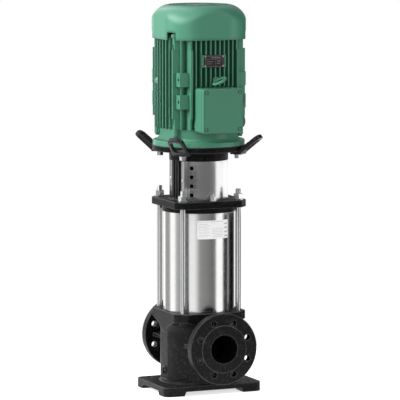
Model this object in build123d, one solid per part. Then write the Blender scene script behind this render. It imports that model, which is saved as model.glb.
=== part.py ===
from build123d import *
import os
from math import cos, degrees, radians, sin, sqrt

# Vertical multistage pump with a finned electric motor. Millimetres, +Z up.
# The origin is the centre of the footprint on the floor, and the port axis runs along X.

# ---- Driving dimensions: pump housing -------------------------------------------------
PORT_HEIGHT = 142
FACE_TO_FACE = 372
PORT_BORE_R = 42
PORT_FLANGE_R = 104
PORT_FLANGE_THICKNESS = 24
RAISED_FACE_R = 69
RAISED_FACE_HEIGHT = 3
PORT_PCD = 160
PORT_HOLE_R = 9
PORT_HOLES = 8
NECK_ROOT_R = 66
NECK_END_R = 54
PORT_RIB_REACH = 78
BASE_X = 227
BASE_Y = 306
BASE_TOP = 27
FOOT_HEIGHT = 12.5
FOOT_X = 56
FOOT_Y = 66
FOOT_SLOPE = 6
BASE_CORNER_R = 20
ANCHOR_SPACING_X = 170
ANCHOR_SPACING_Y = 240
ANCHOR_HOLE_R = 7
BARREL_R = 112
BARREL_FLAT = 109.5
FLAT_HALF_WIDTH = 40
HEAD_BOTTOM = 212
HEAD_TOP = 236.5
SQUARE_HALF = 112.4
HEAD_DIAGONAL = 137.8
CORNER_DEPTH = 36
CORNER_ROUNDING = 8
CHAMBER_R = 98
CORE_WALL_R = 68
CORE_R = 60
CORE_TOP = 215
DRAIN_HEIGHT = 62
DRAIN_R = 8

# ---- Driving dimensions: sleeve, stages and shaft --------------------------------------
SLEEVE_R = 104
SLEEVE_WALL = 2
SLEEVE_BOTTOM = 229
SLEEVE_TOP = 534
STAGES = 3
STAGE_PITCH = 78
STACK_BOTTOM = 238
STACK_TOP = STACK_BOTTOM + STAGES * STAGE_PITCH
CASING_R = 86
CASING_WALL = 2
EYE_R = 33
IMPELLER_R = 72
IMPELLER_VANES = 6
RETURN_VANES = 6
SHAFT_R = 12
SPACER_R = 17
FIT = 0.03
RUNNING = 0.06
CHAMBER_TOP = STACK_TOP + 28
SEAL_PLATE_TOP = 541
SHAFT_BOTTOM = STACK_BOTTOM - 10
PUMP_SHAFT_TOP = 634

# ---- Driving dimensions: tie rods and lantern -------------------------------------------
ROD_CIRCLE_R = 123
ROD_R = 8
ROD_BOTTOM = 214
ROD_BOSS_R = 9.5
ROD_BOSS_BOTTOM = 203
ROD_TOP = 594
NUT_FLATS = 24
WASHER_R = 15
WASHER_HEIGHT = 3
LANTERN_BOTTOM = 527
PLATE_BOTTOM = 542
PLATE_TOP = 562.5
PLATE_DIAGONAL = 141
COLLAR_R = 107
STEP_R = 88
STEP_TOP = 564.6
WEB_FACE = 67.5
WEB_THICKNESS = 11
WEB_HALF_WIDTH = 41
NECK_BOTTOM = 676
NECK_R = 86
LANTERN_PLATE_BOTTOM = 704
LANTERN_TOP = 720.5
LANTERN_PLATE_R = 135
GUARD_R = 86
GUARD_WALL = 1.5
GUARD_ARC = 46
GUARD_HOLE_ANGLE = -37
GUARD_HOLE_HEIGHTS = (579, 605, 631, 657)
GUARD_LIP_END = 34
GUARD_SCREW_X = 43
GUARD_SCREW_HEIGHT = 619
VENT_PLACE = (101.5, 0)
VENT_TOP = 575
VENT_SCREW_R = 3.8
VENT_SCREW_TOP = 583
LABEL_ARC = (-26, 30)
EYE_BOLT_CIRCLE_R = 122
LIFTING_EYE_BASE = 132
LIFTING_EYE_HEIGHT = 701
LIFTING_EYE_SLOPE = 39
LIFTING_EYE_LENGTH = 78
LIFTING_EYE_THICKNESS = 13
LIFTING_EYE_FOOT = 8.2
LIFTING_EYE_BOLT_R = 6.5
PLATE_GAP = 0.2
COUPLING_R = 42
COUPLING_BOTTOM = 594
COUPLING_TOP = 686
COUPLING_SPLIT = 638
COUPLING_BOLT_PLACES = [(y, z) for y in (-29, 29) for z in (612, 668)]

# ---- Driving dimensions: motor -----------------------------------------------------------
FLANGE_R = 134
FLANGE_TOP = 735
SHIELD_TOP = 771
SHIELD_R = 115.5
SHIELD_FLAT = 100.4
SHIELD_FLAT_HALF_WIDTH = 68
HOUSING_TOP = 1036
CORE_SHELL_R = 101
STATOR_R = 96
FIN_SPAN = 71.5
FRONT_FINS = 11
SIDE_FINS = 9
FIN_THICKNESS = 4
FIN_TIP = 122
FIN_ENVELOPE_R = 246
RIB_THICKNESS = 6
RIB_BOTTOM = 803
RIB_TOP = 1001
RIB_TIPS = (118.4, 114)
RIB_ENDS = (112, 107.5)
EAR_X = 66
EAR_Y = 103
EAR_R = 7
LEG_DEPTH = 9
FOOT_PADS = ((831, 872), (895.5, 935.5))
FOOT_PAD_CORNER = 103.4
FOOT_PAD_SIZE = 33
FOOT_PAD_HOLE_INSET = 11
FOOT_PAD_HOLE_R = 5
MOTOR_SHAFT_R = 19
BEARING_SEAT_R = 20
BEARING_OUTER_R = 40
BEARING_HEIGHT = 18
LOWER_BEARING = 744
UPPER_BEARING = 1012
ROTOR_BOTTOM = 830
ROTOR_TOP = 976
AIR_GAP_R = 60.5
COWL_HALF = 124
COWL_CORNER_R = 84
COWL_BOTTOM = 1028.5
COWL_TOP = 1126
COWL_SHOULDER_R = 62
COWL_SHOULDER_CENTRE_R = 79.2
COWL_SHOULDER_DROP = 60.4
COWL_SEAM_ANGLE = 22.5
COWL_WALL = 2.5
COWL_CREASE_R = 9
COWL_NOTCH_ANGLES = (-58.5, 58.5, 121.5, 238.5)
NOTCH_WIDTH = 33
NOTCH_TOP = 1051

# ---- Driving dimensions: terminal box ------------------------------------------------------
BOX_BACK = 112
BOX_JOINT = 165
BOX_FRONT = 177
BOX_HALF_WIDTH = 62.3
BOX_BOTTOM = 766
BOX_TOP = 893
BOX_CORNER_R = 5
BOX_WALL = 4
LID_SCREW_INSET = 10
LID_PILLAR_R = 6.5
CABLE_ENTRY_HEIGHTS = (796, 857)
CABLE_ENTRY_X = 143
CABLE_ENTRY_R = 18
ENTRY_PAD = 4

# ---- Driving dimensions: motor fittings -----------------------------------------------------
PLATE_SEAT_X = 122.5
MOTOR_PLATE_PLACE = (-5, 969)
MOTOR_PLATE_SIZE = (64, 36)
EYEBOLT_PLACE = (2.5, 913)
EYEBOLT_SEAT_X = 122.5
EYEBOLT_RING_R = 18.5
EYEBOLT_BAR_R = 4.4
EYEBOLT_TILT = 28
EARTH_PLACE = (-26, 908)
EARTH_SEAT_Y = 121

UP = (Align.CENTER, Align.CENTER, Align.MIN)
DIAGONALS = (45, 135, 225, 315)
BOX_MIDDLE = (BOX_BOTTOM + BOX_TOP) / 2


# ---- Helpers --------------------------------------------------------------------------------
def polar(radius, angle):
    """Point at an angle in degrees."""
    return (radius * cos(radians(angle)), radius * sin(radians(angle)))


def post(radius, place, bottom, top):
    """Vertical cylinder at a place in plan."""
    return Pos(place[0], place[1], bottom) * Cylinder(radius, top - bottom, align=UP)


def drum(radius, bottom, top):
    """Cylinder about the pump axis."""
    return post(radius, (0, 0), bottom, top)


def ring(outer, inner, bottom, top):
    """Ring about the pump axis."""
    return drum(outer, bottom, top) - drum(inner, bottom - 1, top + 1)


def slab(x, y, z):
    """Box between two limits on each axis."""
    middle = [(low + high) / 2 for low, high in (x, y, z)]
    return Pos(*middle) * Box(x[1] - x[0], y[1] - y[0], z[1] - z[0])


def prism(outline, bottom, top):
    """Outline in plan, drawn up between two heights."""
    return extrude(Pos(0, 0, bottom) * outline, amount=top - bottom)


def turned(points):
    """Closed section of (radius, height) points, turned about the pump axis."""
    return revolve(Plane.XZ * make_face(Polyline(*points, close=True)), Axis.Z)


def coved(inner, start, end, bulge):
    """Turned skirt under a concave arc from start to end, filled back to an inner radius."""
    middle = ((start[0] + end[0]) / 2 + bulge[0], (start[1] + end[1]) / 2 + bulge[1])
    section = make_face([
        ThreePointArc(start, middle, end),
        Polyline(end, (inner, end[1]), (inner, start[1]), start),
    ])
    return revolve(Plane.XZ * section, Axis.Z)


def hexagon(flats, place, bottom, top, turn=0):
    """Hexagonal prism measured across its flats."""
    outline = RegularPolygon(flats / 2, 6, major_radius=False)
    return Pos(place[0], place[1], bottom) * Rot(0, 0, turn) * extrude(outline, amount=top - bottom)


def about_axis(item, angles):
    """Copies of an item, turned about the pump axis."""
    return [Rot(0, 0, angle) * item for angle in angles]


def four_corners(x, y):
    """Corner points of a centred rectangle."""
    return [(i * x, j * y) for i in (-1, 1) for j in (-1, 1)]


def fused(items):
    """One solid from touching pieces."""
    body = items[0]
    for item in items[1:]:
        body += item
    return body


def group(items):
    """Separate solids kept together in one node."""
    return Compound(children=[Compound(item.solids()) for item in items])


def square_with_cut_corners(half, diagonal, rounding):
    """Square plan outline with cut corners and softened edges."""
    cut = diagonal * sqrt(2) - half
    corners = [(half, -cut), (half, cut), (cut, half), (-cut, half)]
    corners += [(-x, -y) for x, y in corners]
    outline = make_face(Polyline(*corners, close=True))
    return fillet(outline.vertices(), rounding)


# ---- Pump housing ---------------------------------------------------------------------------
def port_axis(x):
    """Plane whose normal runs along the port axis, away from the pump's middle."""
    return Plane(origin=(x, 0, PORT_HEIGHT), x_dir=(0, 1, 0), z_dir=(1, 0, 0))


def base_plate():
    """Foot plate on four pads with sloped inner sides."""
    outline = RectangleRounded(BASE_X, BASE_Y, BASE_CORNER_R)
    plate = prism(outline, FOOT_HEIGHT, BASE_TOP)
    plate = chamfer(plate.faces().sort_by(Axis.Z)[-1].edges(), 1.5)
    rails = []
    for reach, length, plane in ((BASE_X / 2, FOOT_X, Plane.XZ), (BASE_Y / 2, FOOT_Y, Plane.YZ)):
        inner = reach - length
        section = Polyline((reach, 0), (inner + FOOT_SLOPE, 0), (inner, FOOT_HEIGHT + 1),
                           (reach, FOOT_HEIGHT + 1), close=True)
        rail = extrude(plane * make_face(section), amount=BASE_Y, both=True)
        rails.append(rail + Rot(0, 0, 180) * rail)
    feet = prism(outline, 0, FOOT_HEIGHT + 1) & rails[0] & rails[1]
    anchors = [post(ANCHOR_HOLE_R, place, -1, BASE_TOP + 1)
               for place in four_corners(ANCHOR_SPACING_X / 2, ANCHOR_SPACING_Y / 2)]
    return plate + feet - anchors


def barrel():
    """Round body with side flats, a foot fillet and a square head carried by concave corners."""
    head_outline = square_with_cut_corners(SQUARE_HALF, HEAD_DIAGONAL, CORNER_ROUNDING)
    skin = BARREL_R - 0.5
    corner_start = HEAD_BOTTOM - CORNER_DEPTH
    foot = coved(BARREL_R - 10, (BARREL_R + 9, BASE_TOP - 1), (skin, BASE_TOP + 9), (-2, -2))
    footprint = prism(RectangleRounded(BASE_X - 1, BASE_Y, BASE_CORNER_R), 0, HEAD_TOP)
    corners = coved(BARREL_R - 10, (skin, corner_start), (HEAD_DIAGONAL, HEAD_BOTTOM), (-2, 7))
    body = drum(BARREL_R, BASE_TOP - 5, HEAD_TOP) + prism(head_outline, HEAD_BOTTOM, HEAD_TOP)
    body += (foot & footprint) + (corners & prism(head_outline, 0, HEAD_TOP))
    for side in (-1, 1):
        outside = sorted((side * BARREL_FLAT, side * (BARREL_FLAT + 10)))
        body -= slab((-FLAT_HALF_WIDTH, FLAT_HALF_WIDTH), outside, (BASE_TOP + 10, corner_start))
    bosses = [post(ROD_BOSS_R, polar(ROD_CIRCLE_R, angle), ROD_BOSS_BOTTOM, HEAD_BOTTOM + 1)
              for angle in DIAGONALS]
    return body + bosses


def bolt_circle(radius):
    """Circles on the port's bolt circle, set either side of its centre lines."""
    places = PolarLocations(PORT_PCD / 2, PORT_HOLES, start_angle=180 / PORT_HOLES)
    return Sketch() + [place * Circle(radius) for place in places]


def port_neck():
    """Flanged neck on the +X side, with its side ribs."""
    face = FACE_TO_FACE / 2
    back = face - RAISED_FACE_HEIGHT - PORT_FLANGE_THICKNESS
    flange = extrude(port_axis(back) * Circle(PORT_FLANGE_R), amount=PORT_FLANGE_THICKNESS)
    flange = chamfer(flange.edges().filter_by(GeomType.CIRCLE), 1.5)
    raised = extrude(port_axis(back) * Circle(RAISED_FACE_R), amount=face - back)
    root = port_axis(50) * Circle(NECK_ROOT_R)
    end = port_axis(back + 1) * Circle(NECK_END_R)
    neck = loft([root.face(), end.face()])
    rib = slab((60, back + 1), (-PORT_RIB_REACH, PORT_RIB_REACH), (PORT_HEIGHT - 5, PORT_HEIGHT + 5))
    holes = extrude(port_axis(back - 3) * bolt_circle(PORT_HOLE_R), amount=60)
    seats = extrude(port_axis(back - 2) * bolt_circle(PORT_HOLE_R + 7), amount=2.5)
    return flange + raised + neck + rib - seats - holes


def suction_passage():
    """Water way from the -X port up through the core of the housing."""
    core = drum(CORE_R, BASE_TOP + 30, CORE_TOP + 1)
    bore = extrude(port_axis(-FACE_TO_FACE) * Circle(PORT_BORE_R), amount=FACE_TO_FACE)
    return core + bore


def discharge_passage():
    """Water way from the space round the core out through the +X port."""
    around = ring(CHAMBER_R, CORE_WALL_R, PORT_HEIGHT - 52, HEAD_TOP + 1)
    crossing = extrude(port_axis(-FACE_TO_FACE) * Circle(PORT_BORE_R + 8), amount=FACE_TO_FACE)
    bore = extrude(port_axis(CORE_WALL_R + 4) * Circle(PORT_BORE_R), amount=FACE_TO_FACE)
    return around - crossing + bore


def pump_housing():
    """Cast base with in-line ports; the suction core stands inside the discharge chamber."""
    neck = port_neck()
    spigot_r = SLEEVE_R - SLEEVE_WALL - 0.2
    body = base_plate() + barrel() + neck + Rot(0, 0, 180) * neck
    body += ring(spigot_r, CHAMBER_R - 1, HEAD_TOP - 12, HEAD_TOP + 14)
    body -= drum(CORE_WALL_R + 1, CORE_TOP, HEAD_TOP + 20)
    body -= ring(SLEEVE_R + 0.3, spigot_r, SLEEVE_BOTTOM - 1, HEAD_TOP + 1)
    body -= ring(SLEEVE_R, CHAMBER_R + 0.6, HEAD_TOP + 5, HEAD_TOP + 9)
    body -= suction_passage()
    body -= discharge_passage()
    for angle in DIAGONALS:
        body -= post(ROD_R, polar(ROD_CIRCLE_R, angle), ROD_BOTTOM, HEAD_TOP + 1)
    return body - drain_thread()


def drain_thread():
    """Threaded hole of the drain plug, through the barrel's -Y flat."""
    flat = Plane(origin=(0, -BARREL_FLAT - 1, DRAIN_HEIGHT), x_dir=(1, 0, 0), z_dir=(0, 1, 0))
    return extrude(flat * Circle(DRAIN_R), amount=BARREL_FLAT - CORE_R + 8)


def drain_plug():
    """Collared hexagon plug in the -Y flat."""
    flat = Plane(origin=(0, -BARREL_FLAT, DRAIN_HEIGHT), x_dir=(1, 0, 0), z_dir=(0, -1, 0))
    thread = extrude(flat * Circle(DRAIN_R), amount=-20)
    collar = extrude(flat * Circle(11.5), amount=2.5)
    head = extrude(flat * RegularPolygon(8.5, 6, major_radius=False), amount=8)
    return thread + collar + head


# ---- Sleeve and hydraulic stages ---------------------------------------------------------------
def pump_sleeve():
    """Rolled stainless tube that holds the pressure, with a turned bead near each end."""
    tube = ring(SLEEVE_R, SLEEVE_R - SLEEVE_WALL, SLEEVE_BOTTOM, SLEEVE_TOP)
    for height in (HEAD_TOP + 2.5, LANTERN_BOTTOM - 6):
        tube += ring(SLEEVE_R + 0.8, SLEEVE_R - 0.5, height, height + 2.5)
    return tube


def sleeve_seals():
    """Square-section rings that seal the sleeve's two ends from inside."""
    outer = SLEEVE_R - SLEEVE_WALL
    lower = ring(outer, CHAMBER_R + 0.8, HEAD_TOP + 5.2, HEAD_TOP + 8.8)
    upper = ring(outer, outer - 3, SEAL_PLATE_TOP - 16.8, SEAL_PLATE_TOP - 13.2)
    return group([lower, upper])


def inlet_guide():
    """Funnel from the housing's core to the first stage."""
    bottom = CORE_TOP
    top = STACK_BOTTOM
    return turned([
        (CORE_R, bottom), (CORE_WALL_R - 1, bottom), (CORE_WALL_R - 1, top - 3), (CASING_R, top - 3),
        (CASING_R, top), (44, top), (44, top - 3), (CORE_R, top - 12),
    ])


def vane_outline(inner_r, outer_r, wrap, thickness):
    """Curved vane between two radii; wrap is the angle that it turns through."""
    stations = ((inner_r, 0), ((inner_r + outer_r) / 2, wrap * 0.56), (outer_r, wrap))
    near = [polar(radius, angle) for radius, angle in stations]
    far = [polar(radius, angle + degrees(thickness / radius)) for radius, angle in stations]
    return make_face([
        ThreePointArc(*near), Line(near[2], far[2]), ThreePointArc(*far), Line(far[0], near[0]),
    ])


def stage_casing(bottom):
    """Pressed cup with a diffuser plate and return vanes that lead the water to the next eye."""
    top = bottom + STAGE_PITCH - 0.1
    inner = CASING_R - CASING_WALL
    cup = ring(CASING_R, inner, bottom, top)
    floor = ring(inner + 1, EYE_R + 4, bottom, bottom + 3)
    plate = ring(inner - 7, 21, bottom + 46, bottom + 48.5)
    vane = prism(vane_outline(EYE_R + 4, inner + 0.8, -66, 2.2), bottom + 48, top)
    return fused([cup, floor] + about_axis(vane, range(0, 360, 360 // RETURN_VANES)) + [plate])


def impeller(bottom):
    """Closed impeller: hub, neck ring, two shrouds and backward-curved vanes."""
    bore = SHAFT_R + FIT
    hub = ring(18, bore, bottom + 4, bottom + 36)
    back = turned([(17, bottom + 31), (IMPELLER_R, bottom + 28), (IMPELLER_R, bottom + 30.5), (17, bottom + 35)])
    front = turned([
        (EYE_R - 2.5, bottom - 2), (EYE_R, bottom - 2), (EYE_R, bottom + 6), (IMPELLER_R, bottom + 16),
        (IMPELLER_R, bottom + 18), (EYE_R - 2.5, bottom + 9),
    ])
    channel = turned([
        (24, bottom + 6), (EYE_R, bottom + 8), (IMPELLER_R, bottom + 17), (IMPELLER_R, bottom + 29),
        (24, bottom + 32),
    ])
    vane = prism(vane_outline(25, IMPELLER_R, -62, 2.4), bottom + 5, bottom + 33) & channel
    vanes = about_axis(vane, range(0, 360, 360 // IMPELLER_VANES))
    return fused([hub, back, front] + vanes) - drum(bore, bottom - 3, bottom + 40)


def stage_bottoms():
    """Height of each stage's floor."""
    return [STACK_BOTTOM + STAGE_PITCH * number for number in range(STAGES)]


def neck_rings():
    """Wear rings in the casing floors, round the impeller eyes."""
    return group([ring(EYE_R + 4, EYE_R + RUNNING, bottom, bottom + 4) for bottom in stage_bottoms()])


def stage_bearings():
    """Bushes in the diffuser plates that guide the shaft."""
    return group([ring(21, SPACER_R + RUNNING, bottom + 43, bottom + 51) for bottom in stage_bottoms()])


def shaft_spacers():
    """Tubes between the impellers and up to the seal."""
    bore = SHAFT_R + FIT
    spans = [(bottom + 36, bottom + STAGE_PITCH + 4) for bottom in stage_bottoms()]
    return group([ring(SPACER_R, bore, low, high) for low, high in spans])


def discharge_chamber():
    """Ring over the last stage, with windows that let the water out to the sleeve."""
    wall = ring(CASING_R, CASING_R - CASING_WALL, STACK_TOP, CHAMBER_TOP)
    rim = ring(CASING_R, CASING_R - 12, CHAMBER_TOP - 3, CHAMBER_TOP)
    window = slab((60, 100), (-17, 17), (STACK_TOP + 6, CHAMBER_TOP - 6))
    return (wall + rim) - about_axis(window, range(0, 360, 45))


def pump_shaft():
    """Stepped shaft through all the stages, up into the coupling."""
    shaft = drum(SHAFT_R, SHAFT_BOTTOM, PUMP_SHAFT_TOP)
    return chamfer(shaft.faces().sort_by(Axis.Z)[-1].edges(), 1)


def shaft_nut():
    """Hexagon nut that clamps the impellers."""
    return hexagon(34, (0, 0), SHAFT_BOTTOM + 1, STACK_BOTTOM + 4) - drum(SHAFT_R + FIT, 0, STACK_TOP)


# ---- Shaft seal, tie rods and lantern -----------------------------------------------------------
def seal_plate():
    """Cover over the stages that carries the seal seat and the sleeve's upper seal."""
    outer = SLEEVE_R - SLEEVE_WALL - 0.2
    groove = SEAL_PLATE_TOP - 17
    return turned([
        (26, CHAMBER_TOP + 14), (44, CHAMBER_TOP + 14), (50, CHAMBER_TOP), (CASING_R, CHAMBER_TOP),
        (CASING_R, CHAMBER_TOP + 6), (outer, CHAMBER_TOP + 14), (outer, groove), (outer - 3, groove),
        (outer - 3, groove + 4), (outer, groove + 4), (outer, SEAL_PLATE_TOP), (26, SEAL_PLATE_TOP),
    ])


def seal_seat():
    """Stationary ring of the shaft seal."""
    return ring(26, SHAFT_R + 1.5, SEAL_PLATE_TOP - 12, SEAL_PLATE_TOP)


def seal_head():
    """Rotating part of the shaft seal: drive collar, bellows and face ring in one turned piece."""
    bore = SHAFT_R + FIT
    bottom = STACK_TOP + 4.2
    top = SEAL_PLATE_TOP - 12.1
    return turned([
        (bore, bottom), (22, bottom), (22, bottom + 14), (18, bottom + 16), (18, top - 14), (21, top - 12),
        (21, top), (bore, top),
    ])


def tie_rods():
    """Studs that clamp the lantern, sleeve and housing together."""
    rods = []
    for angle in DIAGONALS:
        rod = post(ROD_R, polar(ROD_CIRCLE_R, angle), ROD_BOTTOM, ROD_TOP)
        rods.append(chamfer(rod.faces().sort_by(Axis.Z)[-1].edges(), 1.5))
    return group(rods)


def tie_rod_washers():
    """Flat washers on the lantern's lower plate."""
    places = [polar(ROD_CIRCLE_R, angle) for angle in DIAGONALS]
    top = PLATE_TOP + WASHER_HEIGHT
    return group([post(WASHER_R, place, PLATE_TOP, top) - post(ROD_R + 0.1, place, PLATE_TOP - 1, top + 1)
                  for place in places])


def chamfered_nut(flats, place, bottom, top, bore, turn=0):
    """Hexagon nut with both faces turned off at the corners."""
    corner = flats / sqrt(3)
    body = hexagon(flats, place, bottom, top, turn)
    blank = chamfer(post(corner, place, bottom, top).edges().filter_by(GeomType.CIRCLE), corner - flats / 2)
    return (body & blank) - post(bore, place, bottom - 1, top + 1)


def tie_rod_nuts():
    """Nuts on the tie rods."""
    bottom = PLATE_TOP + WASHER_HEIGHT
    return group([chamfered_nut(NUT_FLATS, polar(ROD_CIRCLE_R, angle), bottom, bottom + 14.5, ROD_R + 0.1, angle)
                  for angle in DIAGONALS])


def lantern_lower():
    """Plate that the tie rods pull down, with the collar that holds the sleeve."""
    outline = square_with_cut_corners(SQUARE_HALF, PLATE_DIAGONAL, CORNER_ROUNDING)
    plate = prism(outline, PLATE_BOTTOM, PLATE_TOP)
    plate = chamfer(plate.faces().sort_by(Axis.Z)[-1].edges(), 1.2)
    body = plate + drum(COLLAR_R, LANTERN_BOTTOM, PLATE_BOTTOM + 1) + drum(STEP_R, PLATE_TOP - 1, STEP_TOP)
    body -= drum(SLEEVE_R + 0.3, LANTERN_BOTTOM - 1, SLEEVE_TOP)
    body -= drum(SLEEVE_R - SLEEVE_WALL, LANTERN_BOTTOM, SEAL_PLATE_TOP)
    body -= drum(40, LANTERN_BOTTOM, STEP_TOP + 1)
    rod_holes = [post(ROD_R + 0.6, polar(ROD_CIRCLE_R, angle), PLATE_BOTTOM - 1, PLATE_TOP + 1)
                 for angle in DIAGONALS]
    return body - rod_holes - post(5, VENT_PLACE, PLATE_BOTTOM - 1, PLATE_TOP + 1)


def lantern_web():
    """Flat upright wall on the +Y side, with three vertical ribs."""
    inner = WEB_FACE - WEB_THICKNESS
    wall = slab((-WEB_HALF_WIDTH, WEB_HALF_WIDTH), (inner, WEB_FACE), (PLATE_TOP, NECK_BOTTOM + 2))
    window_foot = coved(inner - 8, (WEB_FACE + 4, STEP_TOP - 1), (WEB_FACE - 4, STEP_TOP + 9), (-2, -2))
    sector = slab((-WEB_HALF_WIDTH, WEB_HALF_WIDTH), (inner, WEB_FACE + 12), (PLATE_TOP, STEP_TOP + 10))
    ribs = [slab((x - 3.5, x + 3.5), (WEB_FACE - 1, WEB_FACE + 5), (PLATE_TOP, NECK_BOTTOM + 2))
            for x in (-18, 0, 18)]
    return fused([wall, window_foot & sector] + ribs)


def lantern_upper():
    """Neck and round plate that carry the motor."""
    plate = drum(LANTERN_PLATE_R, LANTERN_PLATE_BOTTOM, LANTERN_TOP)
    plate = chamfer(plate.edges().filter_by(GeomType.CIRCLE), 1.5)
    neck = drum(NECK_R, NECK_BOTTOM, LANTERN_PLATE_BOTTOM + 1)
    cove = coved(NECK_R - 10, (NECK_R - 0.5, LANTERN_PLATE_BOTTOM - 10),
                 (NECK_R + 12, LANTERN_PLATE_BOTTOM + 1), (-2, 2))
    bolts = [post(LIFTING_EYE_BOLT_R, polar(EYE_BOLT_CIRCLE_R, angle), NECK_BOTTOM, LANTERN_TOP + 1)
             for angle in DIAGONALS]
    bore = drum(56, NECK_BOTTOM - 1, LANTERN_TOP + 1) + drum(90.2, LANTERN_TOP - 4.2, LANTERN_TOP + 1)
    return plate + neck + cove - bore - bolts


def lantern():
    """Cast bracket between the pump and the motor."""
    web = lantern_web()
    body = fused([lantern_lower(), lantern_upper(), web, Rot(0, 0, 180) * web])
    for x in (-GUARD_SCREW_X, GUARD_SCREW_X):
        body -= extrude(Plane.XZ * Pos(x, GUARD_SCREW_HEIGHT) * Circle(2.5), amount=100, both=True)
    return body


def coupling_guard():
    """Front guard: a curved sheet whose edges are bent in against the webs, with four peg holes."""
    inner = GUARD_R - GUARD_WALL
    lip = WEB_FACE + 0.2
    arc_end = polar(inner, GUARD_ARC)
    outer_end = polar(GUARD_R, GUARD_ARC)
    upper_inside = [arc_end, (54, lip), (GUARD_LIP_END, lip)]
    upper_outside = [(GUARD_LIP_END, lip + GUARD_WALL), (54.6, lip + GUARD_WALL), outer_end]
    lower_outside = [(x, -y) for x, y in reversed(upper_outside)]
    lower_inside = [(x, -y) for x, y in reversed(upper_inside)]
    section = make_face([
        ThreePointArc(arc_end, (inner, 0), (arc_end[0], -arc_end[1])),
        Polyline(*upper_inside), Line(upper_inside[-1], upper_outside[0]), Polyline(*upper_outside),
        ThreePointArc(outer_end, (GUARD_R, 0), (outer_end[0], -outer_end[1])),
        Polyline(*lower_outside), Line(lower_outside[-1], lower_inside[0]), Polyline(*lower_inside),
    ])
    sheet = prism(section, STEP_TOP, NECK_BOTTOM - 0.2)
    radial = Plane(origin=(0, 0, 0), x_dir=(0, 0, 1), z_dir=(*polar(1, GUARD_HOLE_ANGLE), 0))
    pegs = [extrude(radial * Pos(height, 0) * RectangleRounded(11, 10, 3), amount=100)
            for height in GUARD_HOLE_HEIGHTS]
    lips = Plane.XZ * Pos(GUARD_SCREW_X, GUARD_SCREW_HEIGHT) * Circle(2.7)
    return sheet - pegs - extrude(lips, amount=100, both=True)


def guard_screws():
    """Round-headed screws that hold the guard lips to the webs."""
    screws = []
    seat = WEB_FACE + 0.2 + GUARD_WALL
    for side in (-1, 1):
        for x in (-GUARD_SCREW_X, GUARD_SCREW_X):
            plane = Plane(origin=(x, side * seat, GUARD_SCREW_HEIGHT), x_dir=(1, 0, 0), z_dir=(0, side, 0))
            head = extrude(plane * Circle(4.5), amount=2.6)
            screws.append(chamfer(head.faces().sort_by(Axis.Y)[0 if side < 0 else -1].edges(), 1)
                          + extrude(plane * Circle(2.4), amount=-10))
    return group(screws)


def vent_plug():
    """Hexagon body of the vent, screwed into the lantern's lower plate."""
    body = chamfered_nut(18, VENT_PLACE, PLATE_TOP, VENT_TOP, VENT_SCREW_R + 0.05)
    body += post(5, VENT_PLACE, PLATE_BOTTOM + 6, PLATE_TOP)
    return body - post(VENT_SCREW_R + 0.05, VENT_PLACE, PLATE_TOP - 4, VENT_TOP + 1)


def vent_screw():
    """Screw that is turned to let air out, with a slotted head."""
    stem = post(VENT_SCREW_R, VENT_PLACE, PLATE_TOP - 3.8, VENT_SCREW_TOP)
    x, y = VENT_PLACE
    return stem - slab((x - 5, x + 5), (y - 0.6, y + 0.6), (VENT_SCREW_TOP - 2, VENT_SCREW_TOP + 1))


def pump_label():
    """Bare metal label wrapped on the sleeve."""
    band = ring(SLEEVE_R + 0.5, SLEEVE_R, 453, 507)
    edges = [polar(2 * SLEEVE_R, LABEL_ARC[0]), (2.6 * SLEEVE_R, 0), polar(2 * SLEEVE_R, LABEL_ARC[1])]
    wedge = make_face(Polyline((0, 0), *edges, close=True))
    return band & prism(wedge, 450, 510)


def lifting_eye():
    """Handle on the +X ray: a foot under the lantern's plate and a slanted loop outside it."""
    base, length, thickness = LIFTING_EYE_BASE, LIFTING_EYE_LENGTH, LIFTING_EYE_THICKNESS
    slope = radians(LIFTING_EYE_SLOPE)
    tilt = Plane(origin=(base, 0, LIFTING_EYE_HEIGHT), x_dir=(cos(slope), 0, sin(slope)),
                 z_dir=(-sin(slope), 0, cos(slope)))
    outline = make_face(Polyline((0, -26), (length, -23), (length, 23), (0, 26), close=True))
    outline = fillet(outline.vertices().group_by(Axis.X)[-1], 18)
    end = length - 12
    hole = make_face(Polyline((17, -17), (end, -12.5), (end, 12.5), (17, 17), close=True))
    hole = fillet(hole.vertices(), 11)
    loop = extrude(tilt * (outline - hole), amount=thickness / 2, both=True)
    rims = loop.edges().filter_by(lambda edge: abs((edge @ 0.5 - tilt.origin).dot(tilt.z_dir)) > thickness / 3)
    loop = fillet(rims, 3)
    top = LANTERN_PLATE_BOTTOM - PLATE_GAP
    foot = slab((106, base + 8), (-21, 21), (top - LIFTING_EYE_FOOT, top))
    above_foot = drum(LANTERN_PLATE_R + 0.4, top, LANTERN_TOP + 2)
    return loop + foot - above_foot - post(LIFTING_EYE_BOLT_R, (EYE_BOLT_CIRCLE_R, 0), 600, LANTERN_TOP)


def motor_flange_bolts():
    """Bolts from below, through the lifting eyes and the lantern into the motor's flange."""
    bolts = []
    seat = LANTERN_PLATE_BOTTOM - PLATE_GAP - LIFTING_EYE_FOOT
    for angle in DIAGONALS:
        place = polar(EYE_BOLT_CIRCLE_R, angle)
        washer = post(11.5, place, seat - 2.5, seat)
        head = hexagon(18, place, seat - 12.5, seat - 2.5, angle)
        bolts.append(fused([washer, head, post(6, place, seat - 10, FLANGE_TOP - 4)]))
    return group(bolts)


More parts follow.
